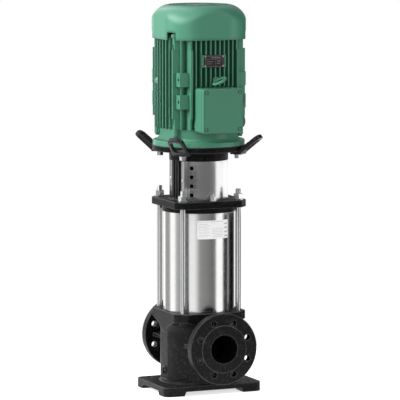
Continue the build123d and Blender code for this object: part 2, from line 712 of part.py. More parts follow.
# ---- Coupling ---------------------------------------------------------------------------------------
def coupling_half(side):
    """One half of the split shell coupling; side is +1 or -1 along X."""
    shell = turned([
        (0, COUPLING_BOTTOM), (COUPLING_R - 3, COUPLING_BOTTOM), (COUPLING_R, COUPLING_BOTTOM + 3),
        (COUPLING_R, COUPLING_TOP - 3), (COUPLING_R - 3, COUPLING_TOP), (0, COUPLING_TOP),
    ])
    shell -= drum(SHAFT_R + FIT, COUPLING_BOTTOM - 1, COUPLING_SPLIT)
    shell -= drum(MOTOR_SHAFT_R + FIT, COUPLING_SPLIT, COUPLING_TOP + 1)
    half = shell & slab((0.5, 60), (-60, 60), (COUPLING_BOTTOM, COUPLING_TOP))
    for y, z in COUPLING_BOLT_PLACES:
        along = Plane(origin=(0, y, z), x_dir=(0, 1, 0), z_dir=(1, 0, 0))
        half -= extrude(along * Circle(4.2), amount=60)
        half -= extrude(along * Pos(0, 0, 18) * Circle(7.5), amount=60)
    return half if side > 0 else Rot(0, 0, 180) * half


def coupling_bolts():
    """Socket-head bolts that draw the coupling halves onto both shafts."""
    bolts = []
    for y, z in COUPLING_BOLT_PLACES:
        along = Plane(origin=(0, y, z), x_dir=(0, 1, 0), z_dir=(1, 0, 0))
        shank = extrude(along * Pos(0, 0, -17.5) * Circle(4), amount=36)
        head = extrude(along * Pos(0, 0, 18.1) * Circle(6.5), amount=8)
        socket = extrude(along * Pos(0, 0, 22) * RegularPolygon(3, 6, major_radius=False), amount=5)
        bolts.append(shank + head - socket)
    return group(bolts)


# ---- Motor ------------------------------------------------------------------------------------------
def drive_end_shield():
    """Motor flange and lower bearing bracket in one casting."""
    flange = drum(FLANGE_R, LANTERN_TOP, FLANGE_TOP)
    flange = chamfer(flange.faces().sort_by(Axis.Z)[-1].edges(), 2)
    body = flange + drum(SHIELD_R, FLANGE_TOP - 1, SHIELD_TOP)
    body += coved(SHIELD_R - 10, (FLANGE_R - 6, FLANGE_TOP - 1), (SHIELD_R - 0.3, FLANGE_TOP + 20), (-4, -5))
    for side in (-1, 1):
        cut = sorted((side * SHIELD_FLAT, side * 150))
        body -= slab((-150, 150), cut, (FLANGE_TOP + 0.01, SHIELD_TOP + 1))
    body += slab((-SHIELD_FLAT_HALF_WIDTH, SHIELD_FLAT_HALF_WIDTH), (-SHIELD_FLAT, SHIELD_FLAT),
                 (FLANGE_TOP - 1, SHIELD_TOP))
    body -= slab((BOX_BACK - 0.2, 150), (-BOX_HALF_WIDTH - 2, BOX_HALF_WIDTH + 2), (BOX_BOTTOM - 1, SHIELD_TOP + 1))
    body -= [post(7, place, FLANGE_TOP + 6, FLANGE_TOP + 16) for place in four_corners(EAR_X, EAR_Y)]
    ears = [post(EAR_R + 1, place, FLANGE_TOP + 16, SHIELD_TOP) + slab(
        sorted((place[0], place[0] * 0.8)), sorted((place[1], place[1] * 0.85)), (FLANGE_TOP + 16, SHIELD_TOP))
        for place in four_corners(EAR_X, EAR_Y)]
    body = fused([body] + ears)
    body += drum(90, LANTERN_TOP - 4, LANTERN_TOP + 1) + ring(STATOR_R, 88, SHIELD_TOP - 1, SHIELD_TOP + 6)
    body -= ring(88, BEARING_OUTER_R + 9, LOWER_BEARING - 4, SHIELD_TOP + 7)
    body -= drum(BEARING_OUTER_R + 9, LOWER_BEARING + BEARING_HEIGHT + 2, SHIELD_TOP + 7)
    body -= drum(BEARING_OUTER_R, LOWER_BEARING, SHIELD_TOP + 7) + drum(MOTOR_SHAFT_R + 2, 700, SHIELD_TOP)
    body -= [post(6, polar(EYE_BOLT_CIRCLE_R, angle), 700, FLANGE_TOP - 3.9) for angle in DIAGONALS]
    return body - [post(3.5, place, FLANGE_TOP + 10, SHIELD_TOP + 1) for place in four_corners(EAR_X, EAR_Y)]


def fin_tip(offset):
    """Distance from the axis plane to the tip of a fin that stands off-centre."""
    return FIN_TIP - FIN_ENVELOPE_R + sqrt(FIN_ENVELOPE_R ** 2 - offset ** 2)


def fin_rows(count, quarter_turns):
    """Plan outlines of the fins on two opposite faces."""
    outlines = []
    for number in range(1, count - 1):
        offset = -FIN_SPAN + 2 * FIN_SPAN * number / (count - 1)
        blade = Pos(0, offset) * Rectangle(2 * fin_tip(offset), FIN_THICKNESS)
        outlines.append(Rot(0, 0, 90 * quarter_turns) * blade)
    return outlines


def corner_block():
    """Plan outline of the wall behind the +X +Y corner, with a deep channel beside the outermost rib."""
    return make_face(Polyline(
        (50, 50), (50, 92), (86, 92), (86, 87.5), (55, 87.5), (55, 74), (86, 74), (92, 68), (92, 50), close=True))


def corner_ribs(tip_x, tip_y):
    """Plan outlines of the heavier outermost ribs."""
    along_x = [Pos(0, side * FIN_SPAN) * Rectangle(2 * tip_x, RIB_THICKNESS) for side in (-1, 1)]
    along_y = [Pos(side * FIN_SPAN, 0) * Rectangle(RIB_THICKNESS, 2 * tip_y) for side in (-1, 1)]
    return along_x + along_y


def forked_lug(place, low, high, fork):
    """Boss for an end shield bolt; its outer wall splits into two legs that reach the height fork."""
    x, y = place
    outer = y * (1 + 4 / abs(y))
    root = high - 6 if fork < low else low + 6
    boss = post(EAR_R, place, low, high)
    boss += slab((x - EAR_R, x + EAR_R), sorted((y * 0.8, y)), (low, high))
    for lean in (-1, 1):
        leg = Polyline((x + lean, root), (x + lean * 7, root), (x + lean * 10, fork), (x + lean * 5, fork),
                       close=True)
        boss += Pos(0, (outer + y * 0.86) / 2, 0) * extrude(Plane.XZ * make_face(leg), amount=LEG_DEPTH, both=True)
    return boss


def stator_housing():
    """Finned shell of the motor, with foot pads at its corners and a seat for the terminal box."""
    core = Circle(CORE_SHELL_R) + [Rot(0, 0, angle) * corner_block() for angle in (0, 180)]
    core += [mirror(Rot(0, 0, angle) * corner_block(), Plane.XZ) for angle in (0, 180)]
    core += fin_rows(FRONT_FINS, 0) + fin_rows(SIDE_FINS, 1)
    body = prism(core + corner_ribs(*RIB_ENDS), SHIELD_TOP, HOUSING_TOP)
    body += prism(Circle(CORE_SHELL_R) + corner_ribs(*RIB_TIPS), RIB_BOTTOM, RIB_TOP)
    for low, high in FOOT_PADS:
        for angle in (0, 180):
            pad = Rot(0, 0, angle) * foot_pad(low, high)
            body += pad + mirror(pad, Plane.XZ)
    for place in four_corners(EAR_X, EAR_Y):
        body += forked_lug(place, SHIELD_TOP, SHIELD_TOP + 14, SHIELD_TOP + 30)
        body += forked_lug(place, HOUSING_TOP - 22, HOUSING_TOP, HOUSING_TOP - 36)
    body -= drum(200, COWL_BOTTOM - 3, HOUSING_TOP + 1) - prism(cowl_square(COWL_WALL + 1.5), 700, 1200)
    body -= slab((BOX_BACK, 140), (-BOX_HALF_WIDTH - 2, BOX_HALF_WIDTH + 2), (SHIELD_TOP - 1, BOX_TOP + 3))
    body += slab((90, BOX_BACK), (-54, 54), (BOX_BOTTOM + 6, BOX_TOP - 6))
    body += motor_plate_seat() + eyebolt_boss() + earth_boss()
    body -= drum(STATOR_R + 0.2, SHIELD_TOP - 1, HOUSING_TOP + 1)
    body -= [post(3.2, place, SHIELD_TOP - 1, HOUSING_TOP + 1) for place in four_corners(EAR_X, EAR_Y)]
    cable_way = extrude(Plane.YZ * Pos(0, BOX_MIDDLE) * Circle(18), amount=BOX_BACK + 1)
    return body - cable_way - eyebolt_thread()


def foot_pad(low, high):
    """Pad in the +X +Y corner for a bolted foot, with a blind hole from its +Y side."""
    inner = FOOT_PAD_CORNER - FOOT_PAD_SIZE
    pad = slab((inner, FOOT_PAD_CORNER), (inner, FOOT_PAD_CORNER), (low, high))
    face = Plane.XZ.offset(-FOOT_PAD_CORNER)
    hole = face * Pos(FOOT_PAD_CORNER - FOOT_PAD_HOLE_INSET, (low + high) / 2) * Circle(FOOT_PAD_HOLE_R)
    return pad - extrude(hole, amount=12)


def motor_plate_seat():
    """Pad on the fins that the motor plate is riveted to."""
    y, height = MOTOR_PLATE_PLACE
    width, depth = MOTOR_PLATE_SIZE
    return slab((100, PLATE_SEAT_X), (y - width / 2 - 5, y + width / 2 + 5), (height - depth / 2, height + depth / 2))


def eyebolt_boss():
    """Round boss for the eyebolt's thread."""
    return extrude(Plane.YZ * Pos(*EYEBOLT_PLACE) * Circle(11), amount=EYEBOLT_SEAT_X)


def eyebolt_thread():
    """Threaded hole in the eyebolt's boss."""
    return extrude(along_x(EYEBOLT_PLACE, EYEBOLT_SEAT_X - 22) * Circle(5), amount=30)


def earth_boss():
    """Small boss for the earth screw on the -Y face."""
    x, height = EARTH_PLACE
    return slab((x - 7, x + 7), (-EARTH_SEAT_Y, -95), (height - 9, height + 9))


def earth_screw():
    """Earth screw and its clamp washer."""
    x, height = EARTH_PLACE
    plane = Plane(origin=(x, -EARTH_SEAT_Y, height), x_dir=(1, 0, 0), z_dir=(0, -1, 0))
    washer = extrude(plane * Circle(5.5), amount=1.2)
    head = extrude(plane * RegularPolygon(4, 6, major_radius=False), amount=5)
    return washer + head


def stator_core():
    """Laminated core with open winding slots."""
    slots = PolarLocations(AIR_GAP_R + 9, 24)
    section = Circle(STATOR_R) - Circle(AIR_GAP_R) - slots * Rectangle(20, 6)
    return prism(section, ROTOR_BOTTOM, ROTOR_TOP)


def stator_windings():
    """Coil ends above and below the core."""
    lower = ring(88, AIR_GAP_R + 4, ROTOR_BOTTOM - 34, ROTOR_BOTTOM - 0.2)
    upper = ring(88, AIR_GAP_R + 4, ROTOR_TOP + 0.2, ROTOR_TOP + 30)
    return group([lower, upper])


def upper_end_shield():
    """Upper bearing bracket, with ears for its bolts."""
    top = HOUSING_TOP + 12
    body = turned([
        (BEARING_OUTER_R, UPPER_BEARING), (BEARING_OUTER_R + 8, UPPER_BEARING), (BEARING_OUTER_R + 8, HOUSING_TOP),
        (88, HOUSING_TOP), (88, HOUSING_TOP - 6), (STATOR_R, HOUSING_TOP - 6), (STATOR_R, HOUSING_TOP + 0.1),
        (108, HOUSING_TOP + 0.1), (106, HOUSING_TOP + 8), (60, top), (24, top),
        (24, UPPER_BEARING + BEARING_HEIGHT + 0.1), (BEARING_OUTER_R, UPPER_BEARING + BEARING_HEIGHT + 0.1),
    ])
    for place in four_corners(EAR_X, EAR_Y):
        reach = (place[0] * 0.82, place[1] * 0.82)
        arm = make_hull((Pos(*place) * Circle(EAR_R + 4)).edges() + (Pos(*reach) * Circle(EAR_R + 7)).edges())
        body += prism(arm, HOUSING_TOP + 0.1, HOUSING_TOP + 9)
        body -= post(3.5, place, HOUSING_TOP - 1, top)
    return body


def end_shield_bolts():
    """Bolts that hold both end shields to the stator housing."""
    bolts = []
    for place in four_corners(EAR_X, EAR_Y):
        low_seat = FLANGE_TOP + 16
        high_seat = HOUSING_TOP + 9
        low = post(3.1, place, low_seat, SHIELD_TOP + 12) + hexagon(10, place, low_seat - 6, low_seat)
        high = post(3.1, place, HOUSING_TOP - 18, high_seat) + hexagon(10, place, high_seat, high_seat + 5)
        bolts += [low, high]
    return group(bolts)


def bearing_places():
    """Bottom heights of the two motor bearings."""
    return (LOWER_BEARING, UPPER_BEARING)


def bearing_outer_rings():
    """Outer rings of both ball bearings."""
    return group([ring(BEARING_OUTER_R, 33.5, low, low + BEARING_HEIGHT) for low in bearing_places()])


def bearing_inner_rings():
    """Inner rings with their filled ball cages."""
    inner = BEARING_SEAT_R + FIT
    return group([turned([
        (inner, low), (26.5, low), (26.5, low + 3), (33.4, low + 4), (33.4, low + BEARING_HEIGHT - 4),
        (26.5, low + BEARING_HEIGHT - 3), (26.5, low + BEARING_HEIGHT), (inner, low + BEARING_HEIGHT),
    ]) for low in bearing_places()])


def motor_shaft():
    """Stepped motor shaft from the coupling to the fan."""
    lower_end = COUPLING_SPLIT + 2
    lower_step = LOWER_BEARING + BEARING_HEIGHT
    return turned([
        (0, lower_end), (MOTOR_SHAFT_R - 1, lower_end), (MOTOR_SHAFT_R, lower_end + 1),
        (MOTOR_SHAFT_R, LOWER_BEARING - 4), (BEARING_SEAT_R, LOWER_BEARING - 4), (BEARING_SEAT_R, lower_step),
        (25, lower_step), (25, UPPER_BEARING), (BEARING_SEAT_R, UPPER_BEARING),
        (BEARING_SEAT_R, HOUSING_TOP), (15, HOUSING_TOP), (15, 1092), (0, 1092),
    ])


def rotor_core():
    """Laminated rotor with its end rings."""
    body = ring(AIR_GAP_R - 0.6, 25 + FIT, ROTOR_BOTTOM, ROTOR_TOP)
    for low in (ROTOR_BOTTOM - 14, ROTOR_TOP - 1):
        body += ring(55, 38, low, low + 15)
    return body


def cooling_fan():
    """Radial fan on the shaft's upper end, with straight blades for either turning direction."""
    bottom = HOUSING_TOP + 20
    hub = ring(26, 15 + FIT, bottom, bottom + 30)
    disc = turned([(25, bottom), (94, bottom + 4), (94, bottom + 6), (25, bottom + 4)])
    blade = extrude(Plane.XZ * make_face(Polyline(
        (24, bottom + 2), (93, bottom + 5), (93, bottom + 26), (60, bottom + 30), (24, bottom + 28), close=True)),
        amount=1.2, both=True)
    return fused([hub, disc] + about_axis(blade, range(0, 360, 45)))


def cowl_square(inset):
    """Plan outline of the fan cowl, drawn in by an inset."""
    side = 2 * (COWL_HALF - inset)
    return RectangleRounded(side, side, COWL_CORNER_R - inset)


def cowl_form(inset):
    """Outer form of the fan cowl: a rounded square under a turned shoulder with a flat crown."""
    walls = prism(cowl_square(inset), COWL_BOTTOM - 1, COWL_TOP)
    radius = COWL_SHOULDER_R - inset
    centre = (COWL_SHOULDER_CENTRE_R, COWL_TOP - COWL_SHOULDER_DROP)
    rise = COWL_SHOULDER_DROP - inset
    crown = centre[0] + sqrt(radius ** 2 - rise ** 2)
    lean = radians(45)
    start = (crown, centre[1] + rise)
    middle = (centre[0] + radius * sin(lean), centre[1] + radius * cos(lean))
    end = (centre[0] + radius, centre[1])
    section = make_face([
        ThreePointArc(start, middle, end),
        Polyline(end, (end[0], COWL_BOTTOM - 2), (0, COWL_BOTTOM - 2), (0, start[1]), start),
    ])
    shoulder = Rot(0, 0, COWL_SEAM_ANGLE) * revolve(Plane.XZ * section, Axis.Z)
    return walls & shoulder


def fan_cowl():
    """Pressed cowl over the fan, notched for the end shield bolts and slotted on top."""
    shell = cowl_form(0)
    creases = shell.edges().filter_by(lambda edge: COWL_TOP - 55 < edge.center().Z < COWL_TOP - 8)
    shell = fillet(creases, COWL_CREASE_R)
    shell -= cowl_form(COWL_WALL)
    shell -= slab((-200, 200), (-200, 200), (COWL_BOTTOM - 50, COWL_BOTTOM))
    for angle in COWL_NOTCH_ANGLES:
        notch = slab((95, 150), (-NOTCH_WIDTH / 2, NOTCH_WIDTH / 2), (COWL_BOTTOM - 1, NOTCH_TOP))
        shell -= Rot(0, 0, angle) * notch
    return shell - intake_slots()


def intake_slots():
    """Rings of slots between radial bars, through the cowl's top."""
    slots = []
    bars = [Rot(0, 0, angle) * Rectangle(200, 5) for angle in range(0, 180, 30)]
    for radius in range(30, 81, 10):
        slots.append(Circle(radius + 6) - Circle(radius) - bars)
    return [prism(slot, COWL_TOP - 6, COWL_TOP + 1) for slot in slots]


# ---- Terminal box and motor fittings ----------------------------------------------------------------
def box_outline(inset):
    """Rounded outline of the terminal box, seen along X."""
    width = 2 * (BOX_HALF_WIDTH - inset)
    height = BOX_TOP - BOX_BOTTOM - 2 * inset
    return Plane.YZ * Pos(0, BOX_MIDDLE) * RectangleRounded(width, height, BOX_CORNER_R + 2 - min(inset, 4))


def box_slice(inset, back, front):
    """Part of the terminal box between two distances from the pump axis."""
    return extrude(Pos(back, 0, 0) * box_outline(inset), amount=front - back)


def lid_corners():
    """Places of the four lid screws, as (y, z)."""
    y = BOX_HALF_WIDTH - LID_SCREW_INSET
    z = (BOX_TOP - BOX_BOTTOM) / 2 - LID_SCREW_INSET
    return [(i * y, BOX_MIDDLE + j * z) for i in (-1, 1) for j in (-1, 1)]


def along_x(place, x):
    """Plane facing +X at a (y, z) place."""
    return Plane(origin=(x, place[0], place[1]), x_dir=(0, 1, 0), z_dir=(1, 0, 0))


def entry_face(y, height):
    """Plane facing +Y at a cable entry."""
    return Plane(origin=(CABLE_ENTRY_X, y, height), x_dir=(1, 0, 0), z_dir=(0, 1, 0))


def terminal_box():
    """Open cast box on the motor's front, with entries on its +Y side."""
    solid = box_slice(0, BOX_BACK, BOX_JOINT - 1)
    solid += slab((BOX_BACK + 8, BOX_JOINT - 1), (BOX_HALF_WIDTH - 1, BOX_HALF_WIDTH + ENTRY_PAD),
                  (BOX_BOTTOM + 8, BOX_TOP - 8))
    body = solid - box_slice(BOX_WALL, BOX_BACK + 5, BOX_JOINT)
    pillars = [extrude(along_x(place, BOX_BACK + 2) * Circle(LID_PILLAR_R), amount=BOX_JOINT - BOX_BACK - 3)
               for place in lid_corners()]
    body = fused([body] + pillars)
    body -= [extrude(along_x(place, BOX_JOINT - 20) * Circle(2.5), amount=30) for place in lid_corners()]
    for height in CABLE_ENTRY_HEIGHTS:
        side = entry_face(BOX_HALF_WIDTH - 10, height)
        body -= extrude(side * Circle(10), amount=20)
    return body - extrude(Plane.YZ * Pos(0, BOX_MIDDLE) * Circle(18), amount=BOX_BACK + 6)


def terminal_box_gasket():
    """Flat seal between the box and its lid."""
    frame = box_slice(0.8, BOX_JOINT - 1, BOX_JOINT) - box_slice(BOX_WALL, BOX_JOINT - 2, BOX_JOINT + 1)
    pillars = [extrude(along_x(place, BOX_JOINT - 1) * Circle(LID_PILLAR_R), amount=1) for place in lid_corners()]
    bores = [extrude(along_x(place, BOX_JOINT - 3) * Circle(2.6), amount=5) for place in lid_corners()]
    return fused([frame] + pillars) - bores


def terminal_box_lid():
    """Shallow lid with a rounded rim, a raised middle panel and corner screw seats."""
    lid = box_slice(0, BOX_JOINT, BOX_FRONT - 1)
    lid = fillet(lid.faces().sort_by(Axis.X)[-1].edges(), 2.5)
    lid += extrude(Plane.YZ.offset(BOX_JOINT + 1) * Pos(0, BOX_MIDDLE) * lid_panel(), amount=BOX_FRONT - BOX_JOINT - 1)
    lid -= box_slice(BOX_WALL + 1, BOX_JOINT - 1, BOX_FRONT - 5)
    lid += [extrude(along_x(place, BOX_JOINT) * Circle(LID_PILLAR_R), amount=5) for place in lid_corners()]
    lid -= [extrude(along_x(place, BOX_JOINT - 1) * Circle(2.6), amount=20) for place in lid_corners()]
    return lid - [extrude(along_x(place, BOX_FRONT - 3) * Circle(6), amount=9) for place in lid_corners()]


def lid_panel():
    """Cross-shaped panel outline that leaves the lid's corners free for the screws."""
    wide = 2 * BOX_HALF_WIDTH - 8
    high = BOX_TOP - BOX_BOTTOM - 8
    inset = 2 * LID_SCREW_INSET + 4
    return Rectangle(wide, high - inset) + Rectangle(wide - inset, high)


def lid_screws():
    """Countersunk screws in the lid's corners."""
    screws = []
    for place in lid_corners():
        head = extrude(along_x(place, BOX_FRONT - 3) * Circle(4.2), amount=2.4)
        slot = extrude(along_x(place, BOX_FRONT - 1.6) * Rectangle(10, 1.2), amount=3)
        screws.append(head + extrude(along_x(place, BOX_JOINT - 15) * Circle(2.4), amount=28) - slot
                      - slab((BOX_FRONT - 0.6, 200), (-99, 99), (BOX_BOTTOM, BOX_TOP)))
    return group(screws)


def terminal_board():
    """Insulating block with six terminal studs' posts moulded on."""
    base = slab((BOX_BACK + 5, BOX_BACK + 13), (-36, 36), (BOX_MIDDLE + 20, BOX_MIDDLE + 52))
    posts = [extrude(along_x((y, BOX_MIDDLE + z), BOX_BACK + 12) * Circle(4), amount=12)
             for y in (-24, 0, 24) for z in (28, 44)]
    return fused([base] + posts)


def cable_plugs():
    """Domed blanking plugs in the two cable entries."""
    plugs = []
    for height in CABLE_ENTRY_HEIGHTS:
        side = entry_face(BOX_HALF_WIDTH + ENTRY_PAD, height)
        dome = extrude(side * Circle(CABLE_ENTRY_R), amount=12)
        dome = fillet(dome.faces().sort_by(Axis.Y)[-1].edges(), 5)
        plugs.append(dome + extrude(side * Circle(9.9), amount=-ENTRY_PAD - 4))
    return group(plugs)


def eyebolt():
    """Lifting eyebolt screwed into the motor's front, its ring tilted."""
    plane = along_x(EYEBOLT_PLACE, EYEBOLT_SEAT_X)
    shank = extrude(plane * Circle(5), amount=-20) + extrude(plane * Circle(9), amount=6)
    centre = Pos(EYEBOLT_SEAT_X + 4 + EYEBOLT_RING_R, *EYEBOLT_PLACE) * Rot(EYEBOLT_TILT, 0, 0)
    section = Plane.XZ * Pos(EYEBOLT_RING_R, 0) * RegularPolygon(EYEBOLT_BAR_R, 8)
    return shank + centre * revolve(section, Axis.Z)


def motor_plate():
    """Bare rating plate of the motor."""
    outline = Plane.YZ * Pos(*MOTOR_PLATE_PLACE) * RectangleRounded(*MOTOR_PLATE_SIZE, 3)
    plate = extrude(Pos(PLATE_SEAT_X, 0, 0) * outline, amount=1)
    holes = [extrude(along_x(place, PLATE_SEAT_X - 1) * Circle(1.6), amount=5) for place in rivet_places()]
    return plate - holes


def rivet_places():
    """Places of the plate's rivets, as (y, z)."""
    y, height = MOTOR_PLATE_PLACE
    return [(y + i * 28, height + j * 14) for i in (-1, 1) for j in (-1, 1)]


def plate_rivets():
    """Round-headed rivets of the motor plate."""
    return group([extrude(along_x(place, PLATE_SEAT_X) * Circle(1.5), amount=1)
                  + extrude(along_x(place, PLATE_SEAT_X + 1) * Circle(2.8), amount=1.2) for place in rivet_places()])


# ---- Assembly ------------------------------------------------------------------------------------------
def all_parts():
    """Every node of the pump, by name."""
    parts = {
        "pump_housing": pump_housing(), "drain_plug": drain_plug(), "pump_sleeve": pump_sleeve(),
        "sleeve_seals": sleeve_seals(), "inlet_guide": inlet_guide(), "neck_rings": neck_rings(),
        "stage_bearings": stage_bearings(), "discharge_chamber": discharge_chamber(),
        "seal_plate": seal_plate(), "seal_seat": seal_seat(), "seal_head": seal_head(),
        "pump_shaft": pump_shaft(), "shaft_spacers": shaft_spacers(), "shaft_nut": shaft_nut(),
        "tie_rods": tie_rods(), "tie_rod_washers": tie_rod_washers(), "tie_rod_nuts": tie_rod_nuts(),
        "lantern": lantern(), "vent_plug": vent_plug(), "vent_screw": vent_screw(),
        "pump_label": pump_label(), "guard_screws": guard_screws(),
        "motor_flange_bolts": motor_flange_bolts(), "coupling_bolts": coupling_bolts(),
        "drive_end_shield": drive_end_shield(), "stator_housing": stator_housing(),
        "stator_core": stator_core(), "stator_windings": stator_windings(),
        "upper_end_shield": upper_end_shield(), "end_shield_bolts": end_shield_bolts(),
        "bearing_outer_rings": bearing_outer_rings(), "bearing_inner_rings": bearing_inner_rings(),
        "motor_shaft": motor_shaft(), "rotor_core": rotor_core(), "cooling_fan": cooling_fan(),
        "fan_cowl": fan_cowl(), "terminal_box": terminal_box(), "terminal_box_gasket": terminal_box_gasket(),
        "terminal_box_lid": terminal_box_lid(), "lid_screws": lid_screws(),
        "terminal_board": terminal_board(), "cable_plugs": cable_plugs(), "eyebolt": eyebolt(),
        "motor_plate": motor_plate(), "plate_rivets": plate_rivets(), "earth_screw": earth_screw(),
    }
    for number, bottom in enumerate(stage_bottoms(), start=1):
        parts[f"stage_casing_{number}"] = stage_casing(bottom)
        parts[f"impeller_{number}"] = impeller(bottom)
    guard = coupling_guard()
    parts["front_guard"] = guard
    parts["rear_guard"] = Rot(0, 0, 180) * guard
    parts["front_coupling_half"] = coupling_half(1)
    parts["rear_coupling_half"] = coupling_half(-1)
    eye = lifting_eye()
    for number, angle in enumerate(DIAGONALS, start=1):
        parts[f"lifting_eye_{number}"] = Rot(0, 0, angle) * eye
    return parts


os.makedirs("parts", exist_ok=True)
for name, shape in all_parts().items():
    export_step(shape, f"parts/{name}.step")
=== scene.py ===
"""Looks of a vertical multistage pump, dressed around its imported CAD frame."""

import logging
import math
from dataclasses import dataclass
from enum import Enum
from functools import partial
from typing import Any, Callable, Iterator, Sequence

import bmesh
import bpy
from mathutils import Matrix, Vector


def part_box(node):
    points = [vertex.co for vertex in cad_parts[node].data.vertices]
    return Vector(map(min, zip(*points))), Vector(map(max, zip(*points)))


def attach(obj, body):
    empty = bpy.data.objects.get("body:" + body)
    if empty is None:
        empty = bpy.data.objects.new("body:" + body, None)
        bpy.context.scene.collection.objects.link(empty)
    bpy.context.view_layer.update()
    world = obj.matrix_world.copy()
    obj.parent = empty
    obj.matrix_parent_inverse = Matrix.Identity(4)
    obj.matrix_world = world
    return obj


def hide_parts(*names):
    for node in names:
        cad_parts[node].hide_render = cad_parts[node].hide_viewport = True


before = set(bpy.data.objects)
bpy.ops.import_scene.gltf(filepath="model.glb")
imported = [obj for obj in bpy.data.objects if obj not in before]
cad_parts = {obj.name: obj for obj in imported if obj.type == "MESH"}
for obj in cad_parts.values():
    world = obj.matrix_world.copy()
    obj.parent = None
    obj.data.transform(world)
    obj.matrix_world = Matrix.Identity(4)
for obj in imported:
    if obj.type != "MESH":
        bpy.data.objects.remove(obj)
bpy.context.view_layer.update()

MM = 0.001
FRAME_BODY = "pump_frame"

# Sockets of the Mix node in colour mode, by number, because several of them share a name.
MIX_FACTOR, MIX_FIRST, MIX_SECOND = 0, 6, 7
MIX_RESULT = 2
# Nearly all values of a noise texture lie between these two.
NOISE_LOW, NOISE_HIGH = 0.3, 0.7
# Rays that round an edge; more would only cost time.
EDGE_SAMPLES = 4
# How far the foot of a printed bar lies under the surface that it is printed on.
PRINT_SINK = 0.05 * MM
WHITE = "#FFFFFF"

Tree = bpy.types.NodeTree
Socket = bpy.types.NodeSocket
# Left, right, bottom and top of a printed bar, as fractions of its label or plate.
Field = tuple[float, float, float, float]

log = logging.getLogger("pump")


# ---- Colours and shader nodes ------------------------------------------------------------


def linear(hex_code: str) -> tuple[float, float, float, float]:
    """Turns an sRGB hex colour into the linear colour that shaders work in.

    Args:
        hex_code: Colour as "#RRGGBB".

    Returns:
        Linear red, green, blue and an alpha of 1.
    """
    parts = [int(hex_code[i : i + 2], 16) / 255 for i in (1, 3, 5)]
    red, green, blue = (
        part / 12.92 if part <= 0.04045 else ((part + 0.055) / 1.055) ** 2.4 for part in parts
    )
    return (red, green, blue, 1.0)


def add_node(
    tree: Tree,
    kind: str,
    settings: dict[Any, Any] | None = None,
    links: dict[Any, Socket] | None = None,
) -> bpy.types.Node:
    """Adds one shader node, sets it up and joins its inputs to earlier nodes.

    Args:
        tree: Node tree that takes the node.
        kind: Blender's class name of the node without "ShaderNode".
        settings: Values by property name, or by the name or number of an input.
        links: Source sockets by the name or number of the input that they feed.

    Returns:
        The new node.
    """
    node = tree.nodes.new("ShaderNode" + kind)
    for name, value in (settings or {}).items():
        if not isinstance(name, int) and hasattr(node, name):
            setattr(node, name, value)
        else:
            node.inputs[name].default_value = value
    for name, socket in (links or {}).items():
        tree.links.new(socket, node.inputs[name])
    return node


def cleared_tree(owner: bpy.types.Material | bpy.types.World) -> Tree:
    """Switches the nodes of a material or world on and empties them.

    Args:
        owner: Material or world that gets new nodes.

    Returns:
        Its empty node tree.
    """
    owner.use_nodes = True
    owner.node_tree.nodes.clear()
    return owner.node_tree


def per_metre(size_mm: float) -> float:
    """Texture scale at which one feature of the pattern is so many millimetres wide."""
    return 1.0 / (size_mm * MM)


# ---- Finishes ----------------------------------------------------------------------------


@dataclass(frozen=True)
class Relief:
    """Height pattern of a surface, with its depth and where it shows."""

    height: Socket
    depth_mm: float
    strength: Socket | None = None


